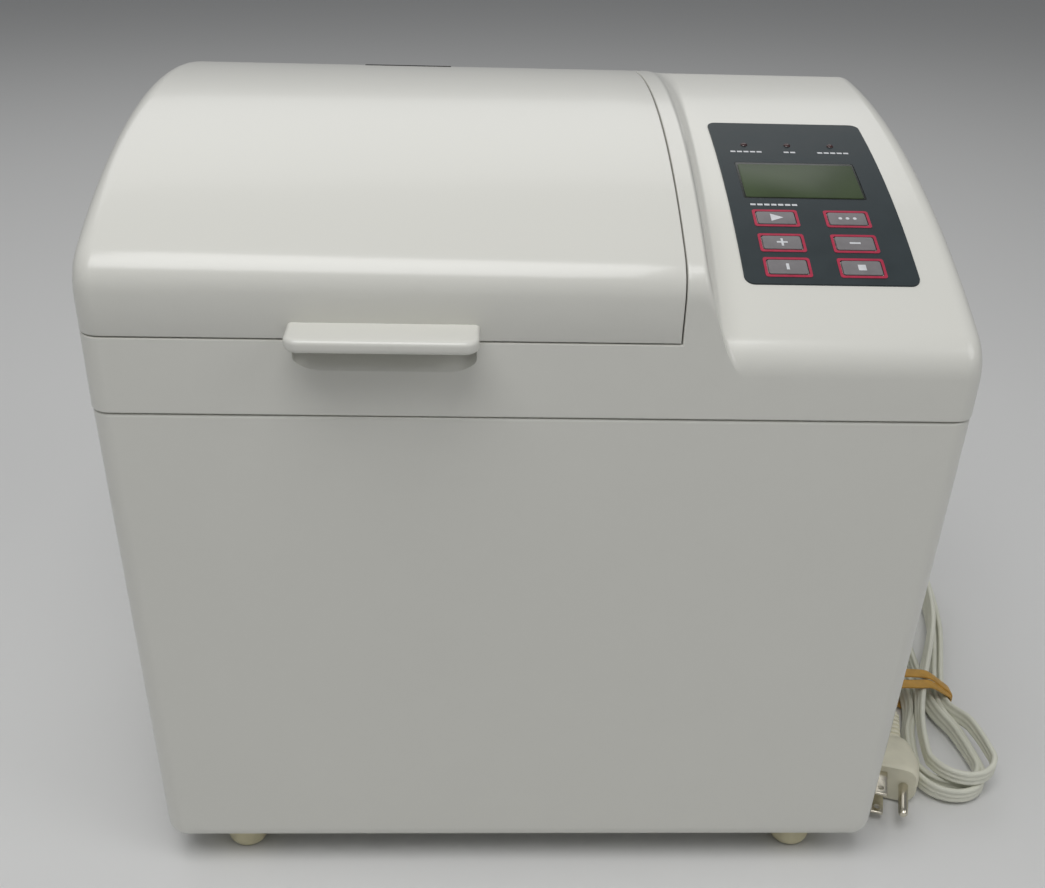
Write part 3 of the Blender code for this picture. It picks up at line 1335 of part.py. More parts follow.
def make_plug():
    """The moulded plug lies on its side, blades to the front. It is drawn about the middle of its face."""
    middle = PLUG_TALL / 2 + TOUCH_GAP
    spot = (*PLUG_FACE, middle)
    half_x, half_z = PLUG_WIDTH / 2, PLUG_TALL / 2
    tail = PLUG_TAIL / PLUG_BODY
    rings = []
    for along, wide, tall in (*PLUG_SECTIONS, (1 + tail, *PLUG_TAIL_END)):
        y, wide, tall = PLUG_BODY * along, half_x * wide, half_z * tall
        outline = rounded((0, 0), wide, tall, min(wide, tall) * PLUG_ROUNDNESS, 3)
        rings.append([(px, y, pz) for px, pz in outline])
    body = place(loft(rings), "plug_body", cord_vinyl)
    body.location, body.rotation_euler = spot, (0, 0, -PLUG_ANGLE)
    wide, long, thick = BLADE_SIZE
    shift = -BLADE_TO_GROUND / 2
    for side, name in ((-1, "lower"), (1, "upper")):
        z = side * BLADE_PITCH / 2
        blade = box((shift - wide / 2, -long, z - thick / 2), (shift + wide / 2, -TOUCH_GAP, z + thick / 2))
        pin = place(blade, f"plug_blade_{name}", bright_metal)
        pin.location, pin.rotation_euler = spot, (0, 0, -PLUG_ANGLE)
    profile = [
        (GROUND_RADIUS / 2, -GROUND_LENGTH),
        (GROUND_RADIUS, -GROUND_LENGTH + GROUND_TIP),
        (GROUND_RADIUS, -TOUCH_GAP),
    ]
    pin = place(turned(profile, (-shift, 0, 0), 16, "Y"), "plug_ground_pin", bright_metal)
    pin.location, pin.rotation_euler = spot, (0, 0, -PLUG_ANGLE)


# ---- the whole machine ----
for old in list(bpy.data.objects):
    bpy.data.objects.remove(old, do_unlink=True)
machine = bpy.data.objects.new("machine", None)
bpy.context.scene.collection.objects.link(machine)
machine.location = (0.0, -(BODY_DEPTH - HANDLE_REACH) / 2, 0.0)

make_lower_case()
make_base_plate()
make_upper_housing()
make_lid_shell()
make_lid_liner()
make_steam_vent()
for side, x in hinge_places():
    make_hinge_pin(side, x)
make_control_label()
make_display()
make_keys()
make_lamps()
make_control_board()
make_oven_chamber()
make_heating_element()
make_temperature_sensor()
make_pan_socket()
make_bread_pan()
make_pan_handle()
make_pan_shaft()
make_shaft_seal()
make_kneading_paddle()
make_chassis()
make_bearing()
make_drive_shaft()
make_drive_pulley()
make_motor_rotor()
make_motor()
make_drive_belt()
make_power_parts()
make_feet()
make_screws()
make_strain_relief()
make_cord_lead()
make_cord_hank()
make_cord_band()
make_plug()
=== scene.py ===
import math

import bmesh
import bpy
from mathutils import Matrix, Vector


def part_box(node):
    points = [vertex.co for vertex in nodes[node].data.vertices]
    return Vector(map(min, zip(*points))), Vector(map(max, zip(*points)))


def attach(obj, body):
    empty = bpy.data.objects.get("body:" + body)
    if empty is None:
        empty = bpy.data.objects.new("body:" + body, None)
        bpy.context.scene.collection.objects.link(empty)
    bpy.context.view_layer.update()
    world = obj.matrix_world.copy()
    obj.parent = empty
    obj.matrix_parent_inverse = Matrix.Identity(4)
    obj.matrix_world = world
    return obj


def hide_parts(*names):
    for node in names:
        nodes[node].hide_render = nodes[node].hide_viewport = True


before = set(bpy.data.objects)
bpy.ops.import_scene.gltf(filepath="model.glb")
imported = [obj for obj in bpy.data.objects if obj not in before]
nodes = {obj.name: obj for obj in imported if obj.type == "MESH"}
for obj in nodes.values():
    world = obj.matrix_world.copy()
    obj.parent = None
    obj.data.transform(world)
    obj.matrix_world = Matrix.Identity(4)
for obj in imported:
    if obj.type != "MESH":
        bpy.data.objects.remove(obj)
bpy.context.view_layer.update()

print("stage 1: frame loaded with", len(nodes), "nodes")

# the housing gives the places that the other pieces are set out from
housingLow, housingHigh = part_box("upper_housing")
halfWidth = housingHigh.x
frontY = housingLow.y
depth = housingHigh.y - housingLow.y
seamZ = housingLow.z
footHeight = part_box("lower_case")[0].z
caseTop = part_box("lower_case")[1].z

shell = {
    "bandHeight": 0.031,      # from the seam up to the deck under the lid
    "lidFront": 0.0573,       # heights above the seam
    "lidCrest": 0.0923,
    "lidCrestFromBack": 0.087,
    "panelFront": 0.0278,
    "panelCrest": 0.0812,
    "panelCrestFromBack": 0.010,
    "panelSection": 0.118,    # width of the part right of the lid
    "ridgeWidth": 0.0065,
    "valleyFront": 0.0105,    # the fall from ridge to panel takes this much in front
    "valleyBack": 0.017,      # and this much behind
    "valleyCrest": 0.35,      # shares of that width for the ridge's round and for the hollow at its foot
    "valleyFoot": 0.50,
    "toeLength": 0.012,       # the hollow sweeps right over the last stretch to the front
    "toeReach": 0.009,
    "frontCurve": 0.010,
    "backCurve": 0.007,
    "edgeRadius": 0.009,
    "cornerRadius": 0.009,
    "wall": 0.0025,
    "lidGap": 0.0005,
    "seamInset": 0.0003,
    "lip": 0.0007,            # small round on the edges at the seams
    "rim": 0.0013,            # round on the lower case's upper edge
    "taper": math.radians(1.0),
}
wall = shell["wall"]
deckZ = seamZ + shell["bandHeight"]
lidRight = halfWidth - shell["panelSection"]
ovenX = (lidRight - halfWidth) / 2
middleY = depth / 2

camera = {
    "place": (-0.0224, -0.5129, 0.456),
    "yaw": -2.365,            # these three in degrees
    "pitch": 29.167,
    "roll": -1.737,
    "lens": 41.57,
    "sensor": 36.0,
    "near": 0.01,
    "far": 50.0,
}


def turned(angle, axis):
    return Matrix.Rotation(math.radians(angle), 4, axis)


def makeCamera(facts):
    data = bpy.data.cameras.new("camera")
    data.lens, data.sensor_width = facts["lens"], facts["sensor"]
    data.clip_start, data.clip_end = facts["near"], facts["far"]
    obj = bpy.data.objects.new("camera", data)
    bpy.context.scene.collection.objects.link(obj)
    look = turned(facts["yaw"], "Z") @ turned(-facts["pitch"], "X") @ turned(facts["roll"], "Y")
    obj.matrix_world = Matrix.Translation(facts["place"]) @ look @ turned(90, "X")
    bpy.context.scene.camera = obj


makeCamera(camera)


def socket(shader, name, value):
    if name in shader.inputs:
        shader.inputs[name].default_value = value


def makeFinish(name, color, rough, metallic=0.0, mottle=0.04, mottleSize=0.02, grain=0.08,
               grainSize=0.0004, stretch=(1, 1, 1), roughSpread=0.06, **sockets):
    # a base colour that drifts a little, fine surface grain and uneven gloss, all by place on the piece
    material = bpy.data.materials.new(name)
    material.use_nodes = True
    tree = material.node_tree
    shader = tree.nodes["Principled BSDF"]
    place = tree.nodes.new("ShaderNodeTexCoord")
    stretched = tree.nodes.new("ShaderNodeMapping")
    stretched.inputs["Scale"].default_value = stretch
    tree.links.new(place.outputs["Object"], stretched.inputs["Vector"])

    cloud = tree.nodes.new("ShaderNodeTexNoise")
    cloud.inputs["Scale"].default_value = 1 / mottleSize
    cloud.inputs["Detail"].default_value = 4
    tree.links.new(stretched.outputs["Vector"], cloud.inputs["Vector"])
    ramp = tree.nodes.new("ShaderNodeValToRGB")
    ramp.color_ramp.elements[0].position, ramp.color_ramp.elements[1].position = 0.3, 0.7
    for end, share in zip(ramp.color_ramp.elements, (1 - mottle, 1 + mottle)):
        end.color = (*[min(c * share, 1.0) for c in color], 1.0)
    tree.links.new(cloud.outputs["Fac"], ramp.inputs["Fac"])
    tree.links.new(ramp.outputs["Color"], shader.inputs["Base Color"])

    gloss = tree.nodes.new("ShaderNodeMapRange")
    gloss.inputs["To Min"].default_value = max(rough - roughSpread, 0.02)
    gloss.inputs["To Max"].default_value = rough + roughSpread
    tree.links.new(cloud.outputs["Fac"], gloss.inputs["Value"])
    tree.links.new(gloss.outputs["Result"], shader.inputs["Roughness"])

    fine = tree.nodes.new("ShaderNodeTexNoise")
    fine.inputs["Scale"].default_value = 1 / grainSize
    fine.inputs["Detail"].default_value = 3
    tree.links.new(stretched.outputs["Vector"], fine.inputs["Vector"])
    bump = tree.nodes.new("ShaderNodeBump")
    bump.inputs["Strength"].default_value = grain
    bump.inputs["Distance"].default_value = grainSize / 2
    tree.links.new(fine.outputs["Fac"], bump.inputs["Height"])
    tree.links.new(bump.outputs["Normal"], shader.inputs["Normal"])

    socket(shader, "Metallic", metallic)
    for key, value in sockets.items():
        socket(shader, key.replace("_", " "), value)
    material.diffuse_color = (*color, 1.0)
    return material


finishes = {
    "whiteShell": dict(color=(0.70, 0.695, 0.645), rough=0.28, mottle=0.006, mottleSize=0.12, grain=0.05,
                       grainSize=0.0006, roughSpread=0.008, Coat_Weight=0.3, Coat_Roughness=0.12),
    "rolledSteel": dict(color=(0.60, 0.60, 0.59), rough=0.32, metallic=1.0, mottle=0.06, grain=0.12,
                        stretch=(1, 1, 12), roughSpread=0.08),
    "satinSteel": dict(color=(0.52, 0.52, 0.51), rough=0.50, metallic=0.85, mottle=0.05, grain=0.15),
    "brightSteel": dict(color=(0.66, 0.66, 0.65), rough=0.20, metallic=1.0, mottle=0.04, grain=0.06),
    "nickelBrass": dict(color=(0.66, 0.62, 0.52), rough=0.24, metallic=1.0, mottle=0.08, mottleSize=0.004),
    "ovenEnamel": dict(color=(0.21, 0.21, 0.215), rough=0.42, metallic=0.35, mottle=0.10, mottleSize=0.006,
                       grain=0.2),
    "panCoating": dict(color=(0.080, 0.080, 0.085), rough=0.42, mottle=0.15, mottleSize=0.005, grain=0.35,
                       grainSize=0.0003, metallic=0.3),
    "elementSheath": dict(color=(0.07, 0.065, 0.06), rough=0.55, mottle=0.25, mottleSize=0.01, metallic=0.6),
    "panelFilm": dict(color=(0.026, 0.036, 0.040), rough=0.46, mottle=0.08, mottleSize=0.01, grain=0.25,
                      grainSize=0.0002, Specular_IOR_Level=0.35),
    "crimsonInk": dict(color=(0.40, 0.022, 0.060), rough=0.42, mottle=0.10, mottleSize=0.003),
    "paleInk": dict(color=(0.62, 0.63, 0.65), rough=0.5, mottle=0.08, mottleSize=0.002),
    "keyPlastic": dict(color=(0.185, 0.175, 0.180), rough=0.40, mottle=0.06, mottleSize=0.004, grain=0.2,
                       grainSize=0.0002),
    "lampLens": dict(color=(0.035, 0.008, 0.008), rough=0.16, mottle=0.1, mottleSize=0.002),
    "liquidCrystal": dict(color=(0.052, 0.074, 0.036), rough=0.30, mottle=0.10, mottleSize=0.02,
                          Specular_IOR_Level=0.2),
    # the display's dark frame; its wider strip along the back edge is painted shade for the shadow that falls
    # there
    "displayRimAndTopShade": dict(color=(0.012, 0.015, 0.012), rough=0.25, mottle=0.1),
    "blackPlastic": dict(color=(0.018, 0.018, 0.018), rough=0.5, mottle=0.1, grain=0.3),
    "circuitBoard": dict(color=(0.03, 0.15, 0.06), rough=0.4, mottle=0.25, mottleSize=0.004),
    "motorMetal": dict(color=(0.16, 0.16, 0.17), rough=0.4, metallic=0.8, mottle=0.1),
    "footRubber": dict(color=(0.62, 0.57, 0.38), rough=0.38, mottle=0.08, mottleSize=0.006, grain=0.15,
                       Subsurface_Weight=0.35, Subsurface_Radius=(0.006, 0.005, 0.003)),
    "cordVinyl": dict(color=(0.72, 0.72, 0.62), rough=0.40, mottle=0.06, mottleSize=0.03, grain=0.2,
                      grainSize=0.0005),
    "plugVinyl": dict(color=(0.76, 0.73, 0.58), rough=0.46, mottle=0.06, mottleSize=0.01, grain=0.35,
                      grainSize=0.0004),
    "bandRubber": dict(color=(0.54, 0.30, 0.060), rough=0.45, mottle=0.12, mottleSize=0.004, grain=0.3),
}
materials = {name: makeFinish(name, **facts) for name, facts in finishes.items()}
print("stage 2: camera and", len(materials), "finishes")


# outlines are drawn with y from the front face; addPiece moves them into the frame
def addPiece(bm, name, finish, body="machine", stands=(), crease=30):
    bmesh.ops.recalc_face_normals(bm, faces=bm.faces)
    mesh = bpy.data.meshes.new(name)
    bm.to_mesh(mesh)
    bm.free()
    mesh.transform(Matrix.Translation((0, frontY, 0)))
    mesh.shade_smooth()
    mesh.set_sharp_from_angle(angle=math.radians(crease))
    mesh.materials.append(materials[finish])
    obj = bpy.data.objects.new(name, mesh)
    bpy.context.scene.collection.objects.link(obj)
    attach(obj, body)
    if stands:
        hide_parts(*stands)
    return obj


def keepResult(obj):
    # what the modifiers make becomes the piece's own mesh
    bpy.context.view_layer.update()
    made = bpy.data.meshes.new_from_object(obj.evaluated_get(bpy.context.evaluated_depsgraph_get()))
    obj.modifiers.clear()
    old, obj.data = obj.data, made
    made.name = obj.name
    bpy.data.meshes.remove(old)
    return made


def shape(obj, bm, operation):
    # one exact Boolean step, made final at once
    bmesh.ops.recalc_face_normals(bm, faces=bm.faces)
    mesh = bpy.data.meshes.new("cutter")
    bm.to_mesh(mesh)
    bm.free()
    mesh.transform(Matrix.Translation((0, frontY, 0)))
    other = bpy.data.objects.new("cutter", mesh)
    bpy.context.scene.collection.objects.link(other)
    step = obj.modifiers.new("step", "BOOLEAN")
    step.operation, step.solver, step.object = operation, "EXACT", other
    made = keepResult(obj)
    bpy.data.objects.remove(other)
    bpy.data.meshes.remove(mesh)
    made.shade_smooth()
    made.set_sharp_from_angle(angle=math.radians(30))
    return obj


def settle(obj):
    # large faces rule the shading, so flat walls stay even beside a cut
    step = obj.modifiers.new("settle", "WEIGHTED_NORMAL")
    step.keep_sharp, step.weight = True, 50
    keepResult(obj)
    return obj


def loft(rings, caps=True):
    bm = bmesh.new()
    rows = [[bm.verts.new(p) for p in ring] for ring in rings]
    count = len(rows[0])
    for low, high in zip(rows, rows[1:]):
        for i in range(count):
            j = (i + 1) % count
            bm.faces.new((low[i], low[j], high[j], high[i]))
    if caps:
        bm.faces.new(rows[0][::-1])
        bm.faces.new(rows[-1])
    return bm


def block(low, high):
    bm = bmesh.new()
    bmesh.ops.create_cube(bm, size=1)
    middle = [(a + b) / 2 for a, b in zip(low, high)]
    size = [b - a for a, b in zip(low, high)]
    bm.transform(Matrix.Translation(middle) @ Matrix.Diagonal((*size, 1)))
    return bm


def arc(middle, radius, start, end, steps):
    turn = [math.radians(start + (end - start) * i / steps) for i in range(steps + 1)]
    return [(middle[0] + radius * math.cos(a), middle[1] + radius * math.sin(a)) for a in turn]


def roundBox(middle, halfX, halfY, corner, steps=8):
    corner = min(corner, halfX, halfY)
    outline = []
    for sx, sy, start in ((1, 1, 0), (-1, 1, 90), (-1, -1, 180), (1, -1, 270)):
        at = (middle[0] + sx * (halfX - corner), middle[1] + sy * (halfY - corner))
        outline += arc(at, corner, start, start + 90, steps)
    return outline


def prism(outline, low, high):
    return loft([[(x, y, z) for x, y in outline] for z in (low, high)])


def softPrism(middle, halfX, halfY, corner, low, high, soft, steps=8, rounds=4):
    # an upright rounded block whose top edge is rounded over
    rings = [(0.0, low)]
    for i in range(rounds + 1):
        a = math.pi / 2 * i / rounds
        rings.append((soft * (1 - math.cos(a)), high - soft * (1 - math.sin(a))))
    made = []
    for inset, z in rings:
        outline = roundBox(middle, halfX - inset, halfY - inset, max(corner - inset, 0.0002), steps)
        made.append([(x, y, z) for x, y in outline])
    return loft(made)


def lathe(profile, middle, axis="Z", count=48):
    rings = [[(x, y, h) for x, y in arc((0, 0), r, 0, 360 - 360 / count, count - 1)] for r, h in profile]
    bm = loft(rings)
    spin = {"Z": Matrix(), "Y": turned(-90, "X"), "X": turned(90, "Y")}[axis]
    bm.transform(Matrix.Translation(middle) @ spin)
    return bm


# the curves that lid, ridge and panel share
def arch(y, front, crest, crestY):
    drop = crest - front
    radius = (crestY * crestY + drop * drop) / (2 * drop)
    return seamZ + crest - radius + math.sqrt(radius * radius - (y - crestY) ** 2)


def lidArch(y):
    return arch(y, shell["lidFront"], shell["lidCrest"], depth - shell["lidCrestFromBack"])


def panelArch(y):
    return arch(y, shell["panelFront"], shell["panelCrest"], depth - shell["panelCrestFromBack"])


def bend(start, corner, end, steps=9):
    points = []
    for i in range(steps + 1):
        t = i / steps
        a, b, c = (1 - t) ** 2, 2 * t * (1 - t), t * t
        points.append(tuple(a * p + b * q + c * r for p, q, r in zip(start, corner, end)))
    return points


def sideProfile(crown, inset, bottom, lip=0.0, steps=44):
    front, back = inset, depth - inset
    curve, rear = shell["frontCurve"], shell["backCurve"]
    points = [(front + lip, bottom), (front + lip * 0.3, bottom + lip * 0.3), (front, bottom + lip)]
    over = (front + curve, crown(front + curve) - inset)
    points += bend((front, crown(front) - inset - curve), (front, crown(front) - inset), over)
    behind = (back - rear, crown(back - rear) - inset)
    for i in range(1, steps):
        y = over[0] + (behind[0] - over[0]) * i / steps
        points.append((y, crown(y) - inset))
    points += bend(behind, (back, crown(back) - inset), (back, crown(back) - inset - rear))
    return points + [(back, bottom + lip), (back - lip * 0.3, bottom + lip * 0.3), (back - lip, bottom)]


def ring(x, crown, inset, bottom, lip=0.0):
    return [(x, y, z) for y, z in sideProfile(crown, inset, bottom, lip)]


def edgeSteps(x, inward, radius, steps=12):
    for i in range(steps + 1):
        a = math.pi / 2 * i / steps
        yield x + inward * radius * (1 - math.cos(a)), radius * (1 - math.sin(a))


def spread(start, end, count):
    # the places between start and end, both left out
    return [start + (end - start) * i / count for i in range(1, count)]


def lidRings(thin, bottom, lip=0.0):
    rings = [ring(x, lidArch, inset + thin, bottom, lip)
             for x, inset in edgeSteps(-halfWidth + thin, 1, shell["edgeRadius"] - thin)]
    right = lidRight - thin
    left = -halfWidth + shell["edgeRadius"]
    rings += [ring(x, lidArch, thin, bottom, lip) for x in spread(left, right, 12)]
    soft = max(shell["lip"] - thin, 0.0001)
    rings += [ring(x, lidArch, inset + thin, bottom, lip)
              for x, inset in reversed(list(edgeSteps(right, -1, soft, 4)))]
    return rings


def ridgeFall(share):
    # 0 on the ridge, 1 on the panel: a round crest, a straight flank and a wider hollow at the foot
    crest, foot = shell["valleyCrest"], shell["valleyFoot"]
    slope = 1 / (1 - crest / 2 - foot / 2)
    if share < crest:
        return slope * share * share / (2 * crest)
    if share > 1 - foot:
        return 1 - slope * (1 - share) ** 2 / (2 * foot)
    return slope * (share - crest / 2)


def valleyWidth(y):
    # a quarter of an ellipse widens it towards the front face
    near = min(max(1 - y / shell["toeLength"], 0.0), 1.0)
    toe = shell["toeReach"] * (1 - math.sqrt(1 - near * near))
    return shell["valleyFront"] + (shell["valleyBack"] - shell["valleyFront"]) * y / depth + toe


def sideRings(thin, bottom, lip=0.0):
    # ridge beside the lid, the valley that falls to the panel, and the panel
    left = lidRight + shell["lidGap"] + thin
    ridgeEnd = lidRight + shell["ridgeWidth"]
    soft = max(shell["lip"] - thin, 0.0001)
    rings = [ring(x, lidArch, inset + thin, bottom, lip) for x, inset in edgeSteps(left, 1, soft, 4)]
    rings += [ring(x, lidArch, thin, bottom, lip) for x in spread(left + soft, ridgeEnd, 4)]
    steps = 48
    for i in range(steps + 1):
        share = i / steps
        fall = ridgeFall(share)

        def blended(y, fall=fall):
            return lidArch(y) * (1 - fall) + panelArch(y) * fall

        profile = ring(0, blended, thin, bottom, lip)
        rings.append([(ridgeEnd + valleyWidth(y) * share, y, z) for _, y, z in profile])
    edge = shell["edgeRadius"] - thin
    clear = ridgeEnd + max(valleyWidth(0), valleyWidth(depth)) + shell["lip"]
    right = halfWidth - thin
    rings += [ring(x, panelArch, thin, bottom, lip) for x in [clear, *spread(clear, right - edge, 10)]]
    rings += [ring(x, panelArch, inset + thin, bottom, lip)
              for x, inset in reversed(list(edgeSteps(right, -1, edge)))]
    return rings


handle = {
    "width": 0.070,
    "shift": 0.0015,          # right of the oven's middle
    "reach": 0.0165,
    "thickness": 0.0052,
    "lift": 0.0020,           # above the deck
    "corner": 0.0058,
    "soft": 0.0019,
    "flare": 0.0003,          # how far its root spreads on the lid
    "root": 0.003,            # the stretch in front of the lid that the root takes
    "recessDepth": 0.008,
    "recessHeight": 0.012,
    "recessTop": 0.0340,      # half widths
    "recessFoot": 0.0295,
    "recessCorner": 0.0049,
}
rootShares = (0.7, 0.4, 0.15, 0.0)


def handleMesh(facts):
    middleX = ovenX + facts["shift"]
    half, reach, soft = facts["width"] / 2, facts["reach"], facts["soft"]
    low, thick, flare = deckZ + facts["lift"], facts["thickness"], facts["flare"]
    rows, rounds = [], 5
    for i in range(2 * rounds + 2):
        upper = i > rounds
        a = math.pi / 2 * (i - upper) / rounds - math.pi / 2
        inset = soft * (1 - math.cos(a))
        z = (low + thick - soft if upper else low + soft) + soft * math.sin(a)
        corner = facts["corner"] - inset
        turnX, turnY = half - inset - corner, corner + inset - reach
        row = [(middleX + half + flare - inset, wall / 2)]
        row += [(middleX + half - inset + flare * s * s, -facts["root"] * (1 - s)) for s in rootShares]
        row += reversed(arc((middleX + turnX, turnY), corner, -90, 0, 7))
        row += reversed(arc((middleX - turnX, turnY), corner, -180, -90, 7))
        row += [(middleX - half + inset - flare * s * s, -facts["root"] * (1 - s))
                for s in reversed(rootShares)]
        row += [(middleX - half - flare + inset, wall / 2)]
        rows.append([(x, y, z) for x, y in row])
    return loft(rows)


def recessCutter(facts):
    # a scoop that starts with no edge at its foot and has rounded lower corners
    middleX = ovenX + facts["shift"]
    widen, ahead = facts["recessTop"] - facts["recessFoot"], 0.005
    rows, count = [], 16
    for i in range(count + 1):
        t = i / count
        corner, rise = min(t / 0.4, 1.0), min(t * 1.25, 1.0)
        half = facts["recessFoot"] + widen * math.sqrt(corner * (2 - corner))
        deep = 0.00005 + facts["recessDepth"] * rise * rise * (3 - 2 * rise)
        z = deckZ - facts["recessHeight"] * (1 - t)
        outline = roundBox((middleX, deep / 2 - ahead), half, deep / 2 + ahead, facts["recessCorner"], 8)
        rows.append([(x, y, z) for x, y in outline])
    rows.append([(x, y, z + wall) for x, y, z in rows[-1]])
    return loft(rows)


hinge = {"radius": 0.0057, "gap": 0.0003, "lug": 0.010, "spacing": 0.150}
hingeY = depth - hinge["radius"] - hinge["gap"]
hingeZ = deckZ + hinge["radius"] + hinge["gap"]
hingeX = [ovenX + side * hinge["spacing"] / 2 for side in (-1, 1)]
oven = {"fromSide": 0.025, "fromFront": 0.034, "corner": 0.020}
ovenHalf = ((lidRight + halfWidth) / 2 - oven["fromSide"], middleY - oven["fromFront"])
case = {"edge": 0.010, "openingFromSide": 0.060, "openingFromFront": 0.035, "openingCorner": 0.006}


def caseRow(z, thin, inset=0.0):
    sink = (seamZ - z) * math.tan(shell["taper"])
    halfX = halfWidth - shell["seamInset"] - sink - thin - inset
    outline = roundBox((0, middleY), halfX, middleY - shell["seamInset"] - thin - inset,
                       max(shell["cornerRadius"] - thin - inset, 0.0015), 10)
    return [(x, y, z) for x, y in outline]


def caseRows(thin, bottom, top, lip=0.0):
    radius, rounds = case["edge"] - thin, 10
    rows = []
    for i in range(rounds + 1):
        a = math.pi / 2 * i / rounds
        rows.append(caseRow(bottom + radius * (1 - math.cos(a)), thin, radius * (1 - math.sin(a))))
    rows += [caseRow(z, thin) for z in spread(bottom + radius, top - lip, 8)]
    for i in range(4):
        a = math.pi / 2 * i / 3
        z = top - lip * (1 - math.sin(a)) if lip else top - 0.00001 * (3 - i)
        rows.append(caseRow(z, thin, lip * (1 - math.cos(a))))
    return rows


def makeLowerCase():
    tub = addPiece(loft(caseRows(0.0, footHeight, caseTop, shell["rim"])), "lowerCase", "whiteShell",
                   stands=["lower_case"])
    shape(tub, loft(caseRows(wall, footHeight + wall, seamZ + wall)), "DIFFERENCE")
    outline = roundBox((0, middleY), halfWidth - case["openingFromSide"], middleY - case["openingFromFront"],
                       case["openingCorner"])
    return settle(shape(tub, prism(outline, 0, footHeight + 2 * wall), "DIFFERENCE"))


def makeUpperHousing():
    rows = [[(x, y, z) for y, z in bandProfile(inset)]
            for x, inset in edgeSteps(-halfWidth, 1, shell["edgeRadius"])]
    end = lidRight + shell["ridgeWidth"] / 2
    rows += [[(x, y, z) for y, z in bandProfile(0.0)]
             for x in [*spread(-halfWidth + shell["edgeRadius"], end, 12), end]]
    housing = addPiece(loft(rows), "upperHousing", "whiteShell", stands=["upper_housing"])
    shape(housing, loft(sideRings(0.0, seamZ, shell["lip"])), "UNION")
    left, right = -halfWidth + wall, lidRight + shell["ridgeWidth"]
    under = roundBox(((left + right) / 2, middleY), (right - left) / 2, middleY - wall, case["openingCorner"])
    shape(housing, prism(under, seamZ - wall, deckZ - wall), "DIFFERENCE")
    shape(housing, loft(sideRings(wall, seamZ - wall)), "DIFFERENCE")
    half = handle["width"] / 2 + wall
    backing = block((ovenX - half, wall / 2, deckZ - handle["recessHeight"] - wall),
                    (ovenX + half, handle["recessDepth"] + wall, deckZ - wall / 2))
    shape(housing, backing, "UNION")
    shape(housing, recessCutter(handle), "DIFFERENCE")
    opening = prism(roundBox((ovenX, middleY), *ovenHalf, oven["corner"]), deckZ - 2 * wall, deckZ + wall)
    shape(housing, opening, "DIFFERENCE")
    for x in hingeX:
        foot = deckZ - wall / 2
        outline = [(hingeY + hinge["radius"], foot), *arc((hingeY, hingeZ), hinge["radius"], 0, 180, 16),
                   (hingeY - hinge["radius"], foot)]
        lug = loft([[(x + side * hinge["lug"] / 2, y, z) for y, z in outline] for side in (-1, 1)])
        shape(housing, lug, "UNION")
    return settle(housing)


def bandProfile(inset):
    front, back, lip = inset, depth - inset, shell["lip"]
    lower = [(front + lip, seamZ), (front + lip * 0.3, seamZ + lip * 0.3), (front, seamZ + lip)]
    upper = [(front, deckZ - lip), (front + lip * 0.3, deckZ - lip * 0.3), (front + lip, deckZ)]
    rear = [(back - lip, deckZ), (back, deckZ - lip), (back, seamZ + lip), (back - lip, seamZ)]
    return lower + upper + rear


def makeLid():
    bottom = deckZ + shell["lidGap"]
    lid = addPiece(loft(lidRings(0.0, bottom, shell["lip"])), "lid", "whiteShell", "lid",
                   ["lid_shell"])
    shape(lid, loft(lidRings(wall, bottom - wall)), "DIFFERENCE")
    edge = block((-1, hingeY, bottom - wall), (1, depth + wall, hingeZ))
    shape(lid, edge, "DIFFERENCE")
    side = shell["edgeRadius"] + wall
    barrel = lathe([(hinge["radius"], -halfWidth + side), (hinge["radius"], lidRight - wall / 2)],
                   (0, hingeY, hingeZ), "X")
    shape(lid, barrel, "UNION")
    for x in hingeX:
        half, reach = hinge["lug"] / 2 + shell["lidGap"], hinge["radius"] + shell["lidGap"]
        notch = block((x - half, hingeY - reach, deckZ - wall), (x + half, depth + wall, hingeZ + reach))
        shape(lid, notch, "DIFFERENCE")
    ventLow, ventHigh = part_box("steam_vent")
    room = hinge["gap"]
    vent = block((ventLow.x - room, ventLow.y - frontY - room, deckZ + shell["bandHeight"]),
                 (ventHigh.x + room, ventHigh.y - frontY + room, deckZ + depth))
    shape(lid, vent, "DIFFERENCE")
    addPiece(handleMesh(handle), "lidHandle", "whiteShell", "lid", crease=40)
    return lid


makeLowerCase()
makeUpperHousing()
makeLid()
print("stage 3: outer shell")


panel = {
    "x": halfWidth - 0.0548,  # the label's middle
    "front": 0.0321,
    "size": (0.0695, 0.1157),
    "corner": 0.004,
    "top": 0.0006,            # film's height over the panel
    "keyShift": 0.0020,
    "keyPitch": 0.0296,
    "keyRows": (0.0088, 0.0224, 0.0374),
    "keySize": (0.0157, 0.0080),
    "keyStand": 0.0010,
    "keyRoom": 0.0003,        # between a key and its hole
    "frameSize": (0.0187, 0.0112),
    "frameCorner": 0.0012,
    "deep": 0.006,            # how far keys and holes go under the slope
    "display": (0.0520, 0.0285),
    "displayCorner": 0.0012,
    "displayAt": 0.0642,
    "lampAt": 0.0934,
    "lampPitch": 0.0193,
    "captionDrop": -0.0062,
    "captionAt": 0.0462,
    "captionShift": 0.0006,
    "dash": (0.0022, 0.0012, 0.0029),    # length, height and pitch of a caption's strokes
}
keyNames = (("start", "stop"), ("hour", "minute"), ("light", "select"))
lampProfile = ((0.0015, -0.005), (0.0015, 0.0008), (0.0012, 0.0011), (0.0007, 0.00125))


def onPanel(y):
    step = 0.0005
    tilt = math.atan2(panelArch(y + step) - panelArch(y - step), 2 * step)
    return panelArch(y), tilt


def layOnPanel(bm, x, y):
    # from the panel's own flat axes to its place on the slope
    top, tilt = onPanel(y)
    bm.transform(Matrix.Translation((x, y, top)) @ Matrix.Rotation(tilt, 4, "X"))
    return bm


